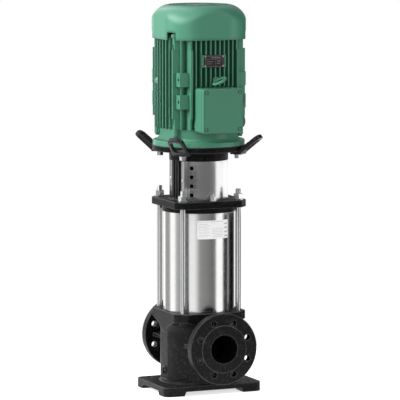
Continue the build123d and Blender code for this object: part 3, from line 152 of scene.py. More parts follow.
@dataclass(frozen=True)
class Finish:
    """One real surface: its material, its colours and how rough its maker left it.

    Two hex colours are mixed by slow clouds, because no real surface has one even tone. An
    edge_mm above 0 is how far the coat rounds the edges, which then catch the light.
    """

    name: str
    colour: str
    second_colour: str
    roughness: float
    roughness_spread: float = 0.05
    metallic: float = 0.0
    ior: float = 1.5
    cloud_mm: float = 60.0
    edge_mm: float = 0.0

    def material(self) -> bpy.types.Material:
        """The finish as a Blender material, made once and then shared.

        Returns:
            The material.
        """
        made = bpy.data.materials.get(self.name)
        if made:
            return made
        made = bpy.data.materials.new(self.name)
        made.diffuse_color = linear(self.colour)
        tree = cleared_tree(made)
        place = add_node(tree, "TexCoord").outputs["Object"]
        shader = add_node(tree, "BsdfPrincipled", {"Metallic": self.metallic})
        if not self.metallic:
            shader.inputs["IOR"].default_value = self.ior
        clouds = {"Scale": per_metre(self.cloud_mm), "Detail": 4.0}
        cloud = add_node(tree, "TexNoise", clouds, {"Vector": place}).outputs["Fac"]
        tree.links.new(self.tint(tree, place, cloud), shader.inputs["Base Color"])
        tree.links.new(self.gloss(tree, place, cloud), shader.inputs["Roughness"])
        normal = self.normal(tree, place)
        if normal:
            tree.links.new(normal, shader.inputs["Normal"])
        add_node(tree, "OutputMaterial", links={"Surface": shader.outputs[0]})
        return made

    @property
    def rounding(self) -> dict[str, float]:
        """Settings of the node that rounds the edges as the coat does."""
        return {"samples": EDGE_SAMPLES, "Radius": self.edge_mm * MM}

    def normal(self, tree: Tree, place: Socket) -> Socket | None:
        """Which way the surface faces, with its rounded edges and its relief.

        Args:
            tree: The material's node tree.
            place: Object coordinates in metres.

        Returns:
            Socket that carries the normal, or None where the surface is plain.
        """
        normal = add_node(tree, "Bevel", self.rounding).outputs[0] if self.edge_mm else None
        relief = self.relief(tree, place)
        if relief:
            links = {"Height": relief.height, "Strength": relief.strength, "Normal": normal}
            links = {name: socket for name, socket in links.items() if socket}
            depth = {"Distance": relief.depth_mm * MM, "Strength": 1.0}
            normal = add_node(tree, "Bump", depth, links).outputs[0]
        return normal

    def tint(self, tree: Tree, place: Socket, cloud: Socket) -> Socket:
        """Colour of the surface.

        Args:
            tree: The material's node tree.
            place: Object coordinates in metres; not used here.
            cloud: Slow clouds from 0 to 1.

        Returns:
            Socket that carries the colour.
        """
        colours = {
            "data_type": "RGBA",
            MIX_FIRST: linear(self.colour),
            MIX_SECOND: linear(self.second_colour),
        }
        return add_node(tree, "Mix", colours, {MIX_FACTOR: cloud}).outputs[MIX_RESULT]

    def gloss(self, tree: Tree, place: Socket, cloud: Socket) -> Socket:
        """Roughness of the surface, a little uneven.

        Args:
            tree: The material's node tree.
            place: Object coordinates in metres; not used here.
            cloud: Slow clouds from 0 to 1.

        Returns:
            Socket that carries the roughness.
        """
        spread = self.roughness_spread
        limits = {"To Min": self.roughness - spread, "To Max": self.roughness + spread}
        return add_node(tree, "MapRange", limits, {"Value": cloud}).outputs[0]

    def relief(self, tree: Tree, place: Socket) -> Relief | None:
        """Fine relief of the surface; the plain finish has none."""
        return None


@dataclass(frozen=True)
class SprayedEnamel(Finish):
    """Alkyd machine enamel, sprayed: even colour, semi-gloss, with fine orange peel.

    Real orange peel is 1 to 2 mm across; it is drawn at 3 mm, which still shows from far.
    """

    peel_mm: float = 3.0
    peel_depth_mm: float = 0.02

    def relief(self, tree: Tree, place: Socket) -> Relief:
        """Orange peel.

        Args:
            tree: The material's node tree.
            place: Object coordinates in metres.

        Returns:
            The relief.
        """
        settings = {"Scale": per_metre(self.peel_mm), "Detail": 1.0}
        peel = add_node(tree, "TexNoise", settings, {"Vector": place})
        return Relief(peel.outputs["Fac"], self.peel_depth_mm)


@dataclass(frozen=True)
class SandCast(Finish):
    """Iron cast in sand and coated: the sand shows through as pits and worn high points.

    Real sand is 0.3 to 0.5 mm; it is drawn coarser, with lumps of several millimetres, as the
    eye sees it from a few metres. The coat is thin where the sand stands above fleck_above. Edges
    are painted lighter grey, partly as wear of the coat and partly as a painted highlight: the
    lightening starts and is full at two cosines of the angle that the rounding turns the surface
    by. Faces further out along X than machined_beyond metres keep little of the relief.
    """

    sand_mm: float = 2.6
    lump_mm: float = 7.0
    sand_depth_mm: float = 0.3
    fleck_colour: str = "#3E3E40"
    fleck_amount: float = 0.4
    fleck_above: float = 0.78
    # Lighter grey painted on edges: partly worn coat, partly a painted highlight.
    edge_colour: str = "#86878A"
    edge_wear_and_highlight: float = 0.7
    edge_lightening_starts: float = 0.98
    edge_lightening_full: float = 0.8
    machined_beyond: float | None = None
    machined_fade: float = 1 * MM
    machined_relief: float = 0.12

    def sand(self, tree: Tree, place: Socket) -> Socket:
        """Sand grain at half its height on slow lumps, from 0 to 1.5.

        Args:
            tree: The material's node tree.
            place: Object coordinates in metres.

        Returns:
            Socket that carries the pattern.
        """
        sizes = (
            {"Scale": per_metre(self.sand_mm), "Detail": 3.0, "Roughness": 0.6},
            {"Scale": per_metre(self.lump_mm), "Detail": 2.0},
        )
        grain, lumps = (
            add_node(tree, "TexNoise", size, {"Vector": place}).outputs["Fac"] for size in sizes
        )
        half_on_top = {"operation": "MULTIPLY_ADD", 1: 0.5}
        return add_node(tree, "Math", half_on_top, {0: grain, 2: lumps}).outputs[0]

    def tint(self, tree: Tree, place: Socket, cloud: Socket) -> Socket:
        """Coat colour with grey flecks where the coat is thin, and lighter grey edges that are
        partly wear and partly a painted highlight.

        Args:
            tree: The material's node tree.
            place: Object coordinates in metres.
            cloud: Slow clouds from 0 to 1.

        Returns:
            Socket that carries the colour.
        """
        coat = super().tint(tree, place, cloud)
        limits = {"From Min": self.fleck_above, "From Max": 1.0, "To Max": self.fleck_amount}
        sand = self.sand(tree, place)
        flecks = add_node(tree, "MapRange", limits, {"Value": sand}).outputs[0]
        layers = [(self.fleck_colour, flecks)]
        # Edges painted lighter grey: partly wear of the coat, partly a painted highlight.
        if self.edge_mm:
            layers.append((self.edge_colour, self.worn_and_highlit_edges(tree)))
        for colour, amount in layers:
            layer = {"data_type": "RGBA", MIX_SECOND: linear(colour)}
            sources = {MIX_FACTOR: amount, MIX_FIRST: coat}
            coat = add_node(tree, "Mix", layer, sources).outputs[MIX_RESULT]
        return coat

    def worn_and_highlit_edges(self, tree: Tree) -> Socket:
        """How far edges are painted lighter, as wear and as a painted highlight: 0 on a face,
        more where rounding would turn the surface.

        Args:
            tree: The material's node tree.

        Returns:
            Socket that carries the wear and painted highlight.
        """
        rounded = add_node(tree, "Bevel", self.rounding).outputs[0]
        plain = add_node(tree, "NewGeometry").outputs["Normal"]
        product = {"operation": "DOT_PRODUCT"}
        cosine = add_node(tree, "VectorMath", product, {0: rounded, 1: plain}).outputs["Value"]
        limits = {
            "From Min": self.edge_lightening_starts,
            "From Max": self.edge_lightening_full,
            "To Max": self.edge_wear_and_highlight,
        }
        return add_node(tree, "MapRange", limits, {"Value": cosine}).outputs[0]

    def relief(self, tree: Tree, place: Socket) -> Relief:
        """Sand grain, left off the faces that were machined.

        Args:
            tree: The material's node tree.
            place: Object coordinates in metres.

        Returns:
            The relief.
        """
        height = self.sand(tree, place)
        if self.machined_beyond is None:
            return Relief(height, self.sand_depth_mm)
        along = add_node(tree, "SeparateXYZ", links={0: place}).outputs["X"]
        reach = add_node(tree, "Math", {"operation": "ABSOLUTE"}, {0: along}).outputs[0]
        limits = {
            "From Min": self.machined_beyond - self.machined_fade,
            "From Max": self.machined_beyond,
            "To Min": 1.0,
            "To Max": self.machined_relief,
        }
        cast = add_node(tree, "MapRange", limits, {"Value": reach}).outputs[0]
        return Relief(height, self.sand_depth_mm, cast)


class Brushing(Enum):
    """Which way the scratches of a metal run, as how much each axis of their noise is packed."""

    AROUND = (1.0, 1.0, 60.0)
    ALONG = (60.0, 60.0, 1.0)
    NONE = (1.0, 1.0, 1.0)


@dataclass(frozen=True)
class BareMetal(Finish):
    """Bare or plated metal with the fine scratches of brushing, turning or drawing.

    Real scratches are about 0.05 mm apart and can't show, so they are drawn coarser.
    """

    brushing: Brushing = Brushing.NONE
    scratch_mm: float = 1.6
    scratch_depth_mm: float = 0.004
    metallic: float = 1.0

    def scratches(self, tree: Tree, place: Socket) -> Socket:
        """Pattern of the scratches.

        Args:
            tree: The material's node tree.
            place: Object coordinates in metres.

        Returns:
            Socket with the pattern, from 0 to 1.
        """
        squeeze = self.brushing.value
        squeezed = add_node(tree, "Mapping", {"Scale": squeeze}, {"Vector": place}).outputs[0]
        scale = per_metre(self.scratch_mm) / max(squeeze)
        settings = {"Scale": scale, "Detail": 5.0, "Roughness": 0.65}
        return add_node(tree, "TexNoise", settings, {"Vector": squeezed}).outputs["Fac"]

    def gloss(self, tree: Tree, place: Socket, cloud: Socket) -> Socket:
        """Roughness that follows the scratches.

        Args:
            tree: The material's node tree.
            place: Object coordinates in metres.
            cloud: Slow clouds from 0 to 1; not used here.

        Returns:
            Socket that carries the roughness.
        """
        limits = {
            "From Min": NOISE_LOW,
            "From Max": NOISE_HIGH,
            "To Min": self.roughness - self.roughness_spread,
            "To Max": self.roughness + self.roughness_spread,
        }
        scratches = self.scratches(tree, place)
        return add_node(tree, "MapRange", limits, {"Value": scratches}).outputs[0]

    def relief(self, tree: Tree, place: Socket) -> Relief:
        """Relief of the scratches."""
        return Relief(self.scratches(tree, place), self.scratch_depth_mm)


@dataclass(frozen=True)
class Moulded(Finish):
    """Moulded plastic or rubber with the fine spark-eroded texture of its mould."""

    texture_mm: float = 1.5
    texture_depth_mm: float = 0.03

    def relief(self, tree: Tree, place: Socket) -> Relief:
        """Texture of the mould.

        Args:
            tree: The material's node tree.
            place: Object coordinates in metres.

        Returns:
            The relief.
        """
        settings = {"Scale": per_metre(self.texture_mm)}
        cells = add_node(tree, "TexVoronoi", settings, {"Vector": place})
        return Relief(cells.outputs["Distance"], self.texture_depth_mm)


# Grey-green, even and semi-gloss: soft highlights on the end shields and the fins.
GREEN_ENAMEL = SprayedEnamel(
    "green_machine_enamel",
    "#3F775F",
    "#437C64",
    roughness=0.36,
    cloud_mm=120.0,
    edge_mm=2.0,
)

# The same enamel on pressed sheet, whose bends are soft: its highlights run round the cowl.
GREEN_SHEET = SprayedEnamel(
    "green_enamel_on_sheet",
    "#407C64",
    "#448169",
    roughness=0.34,
    cloud_mm=120.0,
    edge_mm=14.0,
)

# Nearly black and a little grainy; only the edges and the flanges' turned faces catch light.
# The edges are also painted lighter grey, partly as wear and partly as a painted highlight.
BLACK_CASTING = SandCast(
    "black_coated_cast_iron",
    "#0A0A0B",
    "#131314",
    roughness=0.42,
    roughness_spread=0.08,
    ior=1.22,
    edge_mm=3.0,
    sand_depth_mm=0.9,
    machined_beyond=0.182,
)

# The same coat on a finer casting, so its webs and plate read smoother than the base.
# Its edges are painted lighter grey too, partly as wear and partly as a painted highlight.
BLACK_LANTERN = SandCast(
    "black_coated_lantern_iron",
    "#050505",
    "#0A0A0A",
    roughness=0.44,
    roughness_spread=0.06,
    ior=1.2,
    edge_mm=2.0,
    sand_depth_mm=0.6,
)

# Turned iron inside the guards: a plain mid grey with faint tool marks.
GREY_IRON = BareMetal(
    "machined_grey_iron", "#77787A", "#6C6D6F", roughness=0.42, scratch_depth_mm=0.006
)

# Brushed tube: upright bands of white and grey, whose edges the marks round the tube soften.
# The marks are drawn 2.6 mm apart, since the real ones are too fine to show.
SLEEVE_STEEL = BareMetal(
    "brushed_stainless_sleeve",
    "#D6D6D5",
    "#CDCDCC",
    roughness=0.17,
    roughness_spread=0.06,
    brushing=Brushing.AROUND,
    scratch_mm=2.6,
    scratch_depth_mm=0.14,
)

# Duller sheet than the sleeve: its bands fade into each other.
GUARD_STEEL = BareMetal(
    "brushed_stainless_sheet",
    "#CDCDCC",
    "#C4C4C4",
    roughness=0.22,
    brushing=Brushing.AROUND,
)

# Drawn bar: a bright line down each rod, with streaks along it.
DRAWN_STEEL = BareMetal(
    "drawn_stainless_rod", "#CECFCF", "#C4C5C6", roughness=0.22, brushing=Brushing.ALONG
)

# Bluish white plating, patchy from part to part, so nuts sparkle against the black castings.
ZINC = BareMetal(
    "zinc_plated_steel",
    "#DCDEE0",
    "#CCCED0",
    roughness=0.28,
    roughness_spread=0.07,
    cloud_mm=8.0,
)

# Ground shafts and rings: cool, even and bright, with marks round the axis.
BEARING_STEEL = BareMetal(
    "ground_bearing_steel", "#B9BABB", "#AFB0B2", roughness=0.25, brushing=Brushing.AROUND
)

# Stacked sheet: dull grey whose marks follow the sheets' edges.
LAMINATIONS = BareMetal(
    "electrical_steel_laminations",
    "#85878A",
    "#7B7D80",
    roughness=0.5,
    brushing=Brushing.AROUND,
)

# Warm varnished wire, the only warm colour of the machine.
COPPER = BareMetal(
    "varnished_copper_wire", "#B86B3C", "#A65B30", roughness=0.35, scratch_mm=2.5
)

# Thick black coat on forged parts: soft highlights along the lifting eyes.
BLACK_STEEL = SprayedEnamel(
    "black_coated_steel",
    "#0A0A0B",
    "#101011",
    roughness=0.34,
    ior=1.42,
    cloud_mm=30.0,
    edge_mm=2.5,
)

# Dead matt black lines between metal parts.
RUBBER = Moulded("moulded_black_rubber", "#151515", "#1B1B1B", roughness=0.62)

# Waxy off-white, seen only in a cut-away.
PTFE = Moulded("turned_white_ptfe", "#E4E2DB", "#DAD8D0", roughness=0.5, ior=1.38)

# Dark, lapped flat and slightly shiny.
CARBIDE = SandCast(
    "lapped_carbide",
    "#38383A",
    "#2F2F31",
    roughness=0.3,
    sand_depth_mm=0.01,
    fleck_amount=0.1,
)

# Satin black of the fan and the terminal board.
BLACK_PLASTIC = Moulded("moulded_black_polyamide", "#1C1C1C", "#242424", roughness=0.5)

# Plugs a shade darker and duller than the enamel round them.
GREEN_PLASTIC = Moulded("moulded_green_polyamide", "#285643", "#2C5B48", roughness=0.5)

# Brown-black anodised plate, flat between the bright fins.
PLATE_BLACK = SprayedEnamel(
    "anodised_black_aluminium", "#1A1416", "#241B1E", roughness=0.42, ior=1.4, cloud_mm=12.0
)

# Pale matt foil that stands out from the sleeve's reflections.
LABEL_FOIL = SprayedEnamel(
    "matte_silver_foil", "#F0F1F1", "#F6F6F6", roughness=0.4, cloud_mm=25.0
)

# Thin pale frame lines of the plate.
PLATE_INK = SprayedEnamel(
    "pale_plate_print", "#77706F", "#8A8482", roughness=0.5, cloud_mm=5.0
)

# Grey ruling that gives the label its busy look with no lettering.
LABEL_INK = SprayedEnamel(
    "grey_label_print", "#A4A5A6", "#858687", roughness=0.5, cloud_mm=5.0
)


# ---- Mesh tools --------------------------------------------------------------------------


def object_from(
    name: str, mesh: bmesh.types.BMesh, material: bpy.types.Material
) -> bpy.types.Object:
    """Makes a named object from a finished bmesh and puts it in the scene.

    Args:
        name: Name of the object and its mesh.
        mesh: Geometry in the row frame, in metres; freed here.
        material: The only material of the object.

    Returns:
        The new object.
    """
    data = bpy.data.meshes.new(name)
    mesh.to_mesh(data)
    mesh.free()
    data.materials.append(material)
    made = bpy.data.objects.new(name, data)
    bpy.context.scene.collection.objects.link(made)
    return made


def piece_from(
    name: str, mesh: bmesh.types.BMesh, finish: Finish, smooth_angle: float = 35.0
) -> bpy.types.Object:
    """Makes a smooth-shaded piece from a finished bmesh and rides it on the pump's frame.

    Args:
        name: Name of the piece.
        mesh: Geometry in the row frame, in metres; freed here.
        finish: The piece's finish.
        smooth_angle: Edges sharper than this many degrees stay sharp.

    Returns:
        The new piece.
    """
    bmesh.ops.recalc_face_normals(mesh, faces=mesh.faces)
    piece = object_from(name, mesh, finish.material())
    piece.data.shade_smooth()
    piece.data.set_sharp_from_angle(angle=math.radians(smooth_angle))
    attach(piece, FRAME_BODY)
    log.info("%s: %d faces in %s", name, len(piece.data.polygons), finish.name)
    return piece


def dress(finishes: dict[str, Finish]) -> None:
    """Gives carried-over CAD nodes their finishes.

    Args:
        finishes: Finish by node name.
    """
    for node, finish in finishes.items():
        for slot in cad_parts[node].material_slots:
            slot.material = finish.material()
        log.info("%s: CAD solid in %s", node, finish.name)


def add_bar(mesh: bmesh.types.BMesh, corners: Sequence[Vector], lift: Vector) -> None:
    """Adds a thin raised bar over four corners, closed all round.

    Args:
        mesh: Geometry that takes the bar.
        corners: The bar's foot, in order.
        lift: From the foot to the top.
    """
    foot = [mesh.verts.new(c) for c in corners]
    top = [mesh.verts.new(c + lift) for c in corners]
    mesh.faces.new(foot)
    mesh.faces.new(list(reversed(top)))
    for i in range(4):
        j = (i + 1) % 4
        mesh.faces.new((foot[j], foot[i], top[i], top[j]))


def add_round_bar(
    mesh: bmesh.types.BMesh,
    centre: Vector,
    bottom: float,
    top: float,
    radius_at: Callable[[float, float], float],
    sides: int,
    rows: int,
) -> None:
    """Adds a closed round bar whose radius may change with height and angle.

    Args:
        mesh: Geometry that takes the bar.
        centre: Place of the bar's axis in plan.
        bottom: Height of its lower end.
        top: Height of its upper end.
        radius_at: Radius by angle in radians and height in metres.
        sides: Vertices round the bar.
        rows: Rows of faces from bottom to top.
    """
    rings = []
    for row in range(rows + 1):
        height = bottom + (top - bottom) * row / rows
        ring = []
        for side in range(sides):
            angle = 2 * math.pi * side / sides
            reach = radius_at(angle, height)
            x = centre.x + reach * math.cos(angle)
            y = centre.y + reach * math.sin(angle)
            ring.append(mesh.verts.new((x, y, height)))
        rings.append(ring)
    for lower, upper in zip(rings, rings[1:]):
        for i in range(sides):
            j = (i + 1) % sides
            mesh.faces.new((lower[i], lower[j], upper[j], upper[i]))
    mesh.faces.new(list(reversed(rings[0])))
    mesh.faces.new(rings[-1])


# ---- Sub-assemblies ----------------------------------------------------------------------


@dataclass
class PumpBase:
    """Cast base with the two in-line ports."""

    def build(self) -> None:
        """Dresses the castings and their drain plug."""
        dress({"pump_housing": BLACK_CASTING, "drain_plug": BLACK_CASTING})


@dataclass
class TieRods:
    """Four threaded tie rods with their nuts and washers."""

    radius: float = 8 * MM
    pitch: float = 2 * MM
    thread_depth: float = 0.9 * MM
    thread_length: float = 46 * MM
    chamfer: float = 1.5 * MM
    sides: int = 24
    rows_per_turn: int = 6
    smooth_angle: float = 25.0

    def build(self) -> None:
        """Replaces the plain CAD rods by rods with cut threads at the top."""
        dress({"tie_rod_washers": DRAWN_STEEL, "tie_rod_nuts": ZINC})
        low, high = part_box("tie_rods")
        reach = high.x - self.radius
        mesh = bmesh.new()
        for side_x in (-1, 1):
            for side_y in (-1, 1):
                self.rod(mesh, Vector((side_x * reach, side_y * reach, 0)), low.z, high.z)
        rods = piece_from("threaded_tie_rods", mesh, DRAWN_STEEL, self.smooth_angle)
        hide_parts("tie_rods")

    def rod(self, mesh: bmesh.types.BMesh, centre: Vector, bottom: float, top: float) -> None:
        """Adds one rod: a smooth shank and a threaded end with a chamfer.

        Args:
            mesh: Geometry that takes the rod.
            centre: Place of the rod in plan.
            bottom: Height of its lower end.
            top: Height of its upper end.
        """
        start = top - self.thread_length
        add_round_bar(mesh, centre, bottom, start, lambda *_: self.radius, self.sides, 1)
        rows = round(self.thread_length / self.pitch * self.rows_per_turn)
        thread = partial(self.thread_radius, chamfer_foot=top - self.chamfer)
        add_round_bar(mesh, centre, start, top, thread, self.sides, rows)

    def thread_radius(self, angle: float, height: float, chamfer_foot: float) -> float:
        """Radius of the threaded end, cut by the thread or by the chamfer.

        Args:
            angle: Where round the rod, in radians.
            height: Where along it, in metres.
            chamfer_foot: Height at which the chamfer starts.

        Returns:
            The radius in metres.
        """
        turn = (height / self.pitch - angle / (2 * math.pi)) % 1.0
        cut = self.thread_depth * (1 - abs(2 * turn - 1))
        return self.radius - max(cut, 0.0, height - chamfer_foot)


@dataclass
class HydraulicStack:
    """Sleeve with everything that is stacked inside it, and the label on its front.

    Columns, lines and marks of the label are fractions of its width and height. The left
    column starts at its first number, and its lines end at the second and third by turns.
    """

    stages: int = 3
    ink: float = 0.12 * MM
    bends: int = 14
    left_column: tuple[float, float, float] = (0.05, 0.3, 0.38)
    left_lines: int = 9
    left_line: float = 0.014
    right_column: tuple[float, float] = (0.44, 0.78)
    right_lines: int = 6
    right_line: float = 0.012
    lowest_line: float = 0.12
    line_pitch: float = 0.085
    head_rule: Field = (0.03, 0.8, 0.92, 0.935)
    mark_column: tuple[float, float] = (0.86, 0.96)
    marks: int = 4
    mark_height: float = 0.07
    lowest_mark: float = 0.1
    mark_pitch: float = 0.22

    def build(self) -> None:
        """Dresses the sleeve and the stages and prints the label."""
        finishes = {
            "pump_sleeve": SLEEVE_STEEL,
            "sleeve_seals": RUBBER,
            "inlet_guide": GUARD_STEEL,
            "neck_rings": PTFE,
            "stage_bearings": CARBIDE,
            "discharge_chamber": GUARD_STEEL,
            "seal_plate": GUARD_STEEL,
            "seal_seat": CARBIDE,
            "seal_head": BEARING_STEEL,
            "pump_shaft": BEARING_STEEL,
            "shaft_spacers": BEARING_STEEL,
            "shaft_nut": BEARING_STEEL,
            "pump_label": LABEL_FOIL,
        }
        for stage in range(1, self.stages + 1):
            finishes[f"stage_casing_{stage}"] = finishes[f"impeller_{stage}"] = GUARD_STEEL
        dress(finishes)
        self.print_label()

    def print_label(self) -> None:
        """Prints blank ruled fields on the label, with no lettering."""
        low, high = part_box("pump_label")
        mesh = bmesh.new()
        for place in self.label_fields():
            self.print_bar(mesh, place, low, high)
        piece = piece_from("label_ruling", mesh, LABEL_INK)

    def label_fields(self) -> Iterator[Field]:
        """Lines in two columns, a rule under the heading and marks down the right side.

        Returns:
            Each bar to print, in turn.
        """
        left, short_end, long_end = self.left_column
        for line in range(self.left_lines):
            bottom = self.lowest_line + self.line_pitch * line
            yield left, long_end if line % 2 else short_end, bottom, bottom + self.left_line
            if line < self.right_lines:
                yield *self.right_column, bottom, bottom + self.right_line
        yield self.head_rule
        for mark in range(self.marks):
            bottom = self.lowest_mark + self.mark_pitch * mark
            yield *self.mark_column, bottom, bottom + self.mark_height

    def print_bar(
        self, mesh: bmesh.types.BMesh, place: Field, low: Vector, high: Vector
    ) -> None:
        """Prints one bar on the label, in flat lengths that follow the sleeve's curve.

        Args:
            mesh: Geometry that takes the bar.
            place: Place of the bar on the label.
            low: Lowest corner of the label's box.
            high: Highest corner of the label's box.
        """
        left, right, bottom, top = place
        radius = high.x
        foot = radius - PRINT_SINK
        first, last = math.asin(low.y / radius), math.asin(high.y / radius)
        z0 = low.z + (high.z - low.z) * bottom
        z1 = low.z + (high.z - low.z) * top
        lengths = max(1, round((right - left) * self.bends))
        bearings = [
            first + (last - first) * (left + (right - left) * i / lengths)
            for i in range(lengths + 1)
        ]
        for a, b in zip(bearings, bearings[1:]):
            corners = [
                Vector((foot * math.cos(t), foot * math.sin(t), z))
                for t, z in ((a, z0), (b, z0), (b, z1), (a, z1))
            ]
            middle = (a + b) / 2
            outwards = Vector((math.cos(middle), math.sin(middle), 0))
            add_bar(mesh, corners, outwards * (self.ink + PRINT_SINK))


@dataclass
class Lantern:
    """Cast lantern between pump and motor, with its guards, vent and lifting eyes."""

    lifting_eyes: int = 4

    def build(self) -> None:
        """Dresses the lantern and what is bolted to it."""
        finishes = {
            "lantern": BLACK_LANTERN,
            "front_guard": GUARD_STEEL,
            "rear_guard": GUARD_STEEL,
            "guard_screws": ZINC,
            "vent_plug": ZINC,
            "vent_screw": ZINC,
            "motor_flange_bolts": ZINC,
            "front_coupling_half": GREY_IRON,
            "rear_coupling_half": GREY_IRON,
            "coupling_bolts": BLACK_STEEL,
        }
        for eye in range(1, self.lifting_eyes + 1):
            finishes[f"lifting_eye_{eye}"] = BLACK_STEEL
        dress(finishes)


@dataclass
class Motor:
    """Finned motor with its cowl, terminal box and rating plate."""

    ink: float = 0.15 * MM
    plate_fields: tuple[Field, ...] = (
        (0.06, 0.94, 0.9, 0.925),
        (0.06, 0.94, 0.66, 0.68),
        (0.06, 0.94, 0.075, 0.095),
        (0.06, 0.07, 0.075, 0.925),
        (0.93, 0.94, 0.075, 0.925),
        (0.57, 0.58, 0.075, 0.68),
        (0.64, 0.84, 0.48, 0.53),
        (0.64, 0.78, 0.3, 0.35),
        (0.12, 0.46, 0.46, 0.49),
        (0.12, 0.38, 0.28, 0.31),
        (0.36, 0.8, 0.76, 0.81),
    )

    def build(self) -> None:
        """Dresses the motor's nodes and prints its plate."""
        dress(
            {
                "drive_end_shield": GREEN_ENAMEL,
                "stator_housing": GREEN_ENAMEL,
                "upper_end_shield": GREEN_ENAMEL,
                "end_shield_bolts": GREEN_ENAMEL,
                "fan_cowl": GREEN_SHEET,
                "terminal_box": GREEN_ENAMEL,
                "terminal_box_lid": GREEN_ENAMEL,
                "lid_screws": GREEN_ENAMEL,
                "eyebolt": GREEN_ENAMEL,
                "cable_plugs": GREEN_PLASTIC,
                "terminal_box_gasket": RUBBER,
                "terminal_board": BLACK_PLASTIC,
                "stator_core": LAMINATIONS,
                "stator_windings": COPPER,
                "rotor_core": LAMINATIONS,
                "bearing_outer_rings": BEARING_STEEL,
                "bearing_inner_rings": BEARING_STEEL,
                "motor_shaft": BEARING_STEEL,
                "cooling_fan": BLACK_PLASTIC,
                "motor_plate": PLATE_BLACK,
                "plate_rivets": ZINC,
                "earth_screw": ZINC,
            }
        )
        self.print_plate()

    def print_plate(self) -> None:
        """Prints blank ruled fields on the motor's plate, with no lettering."""
        low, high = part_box("motor_plate")
        mesh = bmesh.new()
        span = high - low
        foot = high.x - PRINT_SINK
        for left, right, bottom, top in self.plate_fields:
            corners = [
                Vector((foot, low.y + span.y * y, low.z + span.z * z))
                for y, z in ((left, bottom), (right, bottom), (right, top), (left, top))
            ]
            add_bar(mesh, corners, Vector((self.ink + PRINT_SINK, 0, 0)))
        piece = piece_from("plate_ruling", mesh, PLATE_INK)


# ---- Studio ------------------------------------------------------------------------------


@dataclass(frozen=True)
class Card:
    """Upright card, bent round the pump, that only reflections show.

    It runs from one bearing to another, in degrees from +X towards +Y, and from one height to
    another in metres. A level of 1 is white.
    """

    name: str
    bearings: tuple[float, float]
    heights: tuple[float, float]
    level: float
    radius: float = 3.0
    steps: int = 16

    def build(self) -> None:
        """Bends the card round the pump and lights it evenly."""
        start, end = self.bearings
        mesh = bmesh.new()
        columns = []
        for step in range(self.steps + 1):
            bearing = math.radians(start + (end - start) * step / self.steps)
            x, y = self.radius * math.cos(bearing), self.radius * math.sin(bearing)
            columns.append([mesh.verts.new((x, y, height)) for height in self.heights])
        for (low, high), (next_low, next_high) in zip(columns, columns[1:]):
            mesh.faces.new((low, next_low, next_high, high))
        paint = bpy.data.materials.new(self.name)
        tree = cleared_tree(paint)
        glow = add_node(tree, "Emission", {"Color": linear(WHITE), "Strength": self.level})
        add_node(tree, "OutputMaterial", links={"Surface": glow.outputs[0]})
        card = object_from(self.name, mesh, paint)
        card.visible_camera = card.visible_diffuse = card.visible_shadow = False
        card.visible_transmission = card.visible_volume_scatter = False
        log.info("%s: card at level %.2f", self.name, self.level)


@dataclass(frozen=True)
class Lamp:
    """Soft oblong lamp: where it hangs, the width and height of its face and its watts."""

    name: str
    place: tuple[float, float, float]
    face: tuple[float, float]
    watts: float

    def build(self, aim: Vector) -> None:
        """Hangs the lamp, unseen by the camera and in reflections.

        Args:
            aim: What it shines at.
        """
        data = bpy.data.lights.new(self.name, "AREA")
        data.shape = "RECTANGLE"
        data.size, data.size_y = self.face
        data.energy = self.watts
        lamp = bpy.data.objects.new(self.name, data)
        lamp.location = self.place
        lamp.rotation_mode = "QUATERNION"
        lamp.rotation_quaternion = (aim - Vector(self.place)).to_track_quat("-Z", "Y")
        lamp.visible_camera = lamp.visible_glossy = False
        bpy.context.scene.collection.objects.link(lamp)
        log.info("%s: lamp of %.0f W", self.name, self.watts)


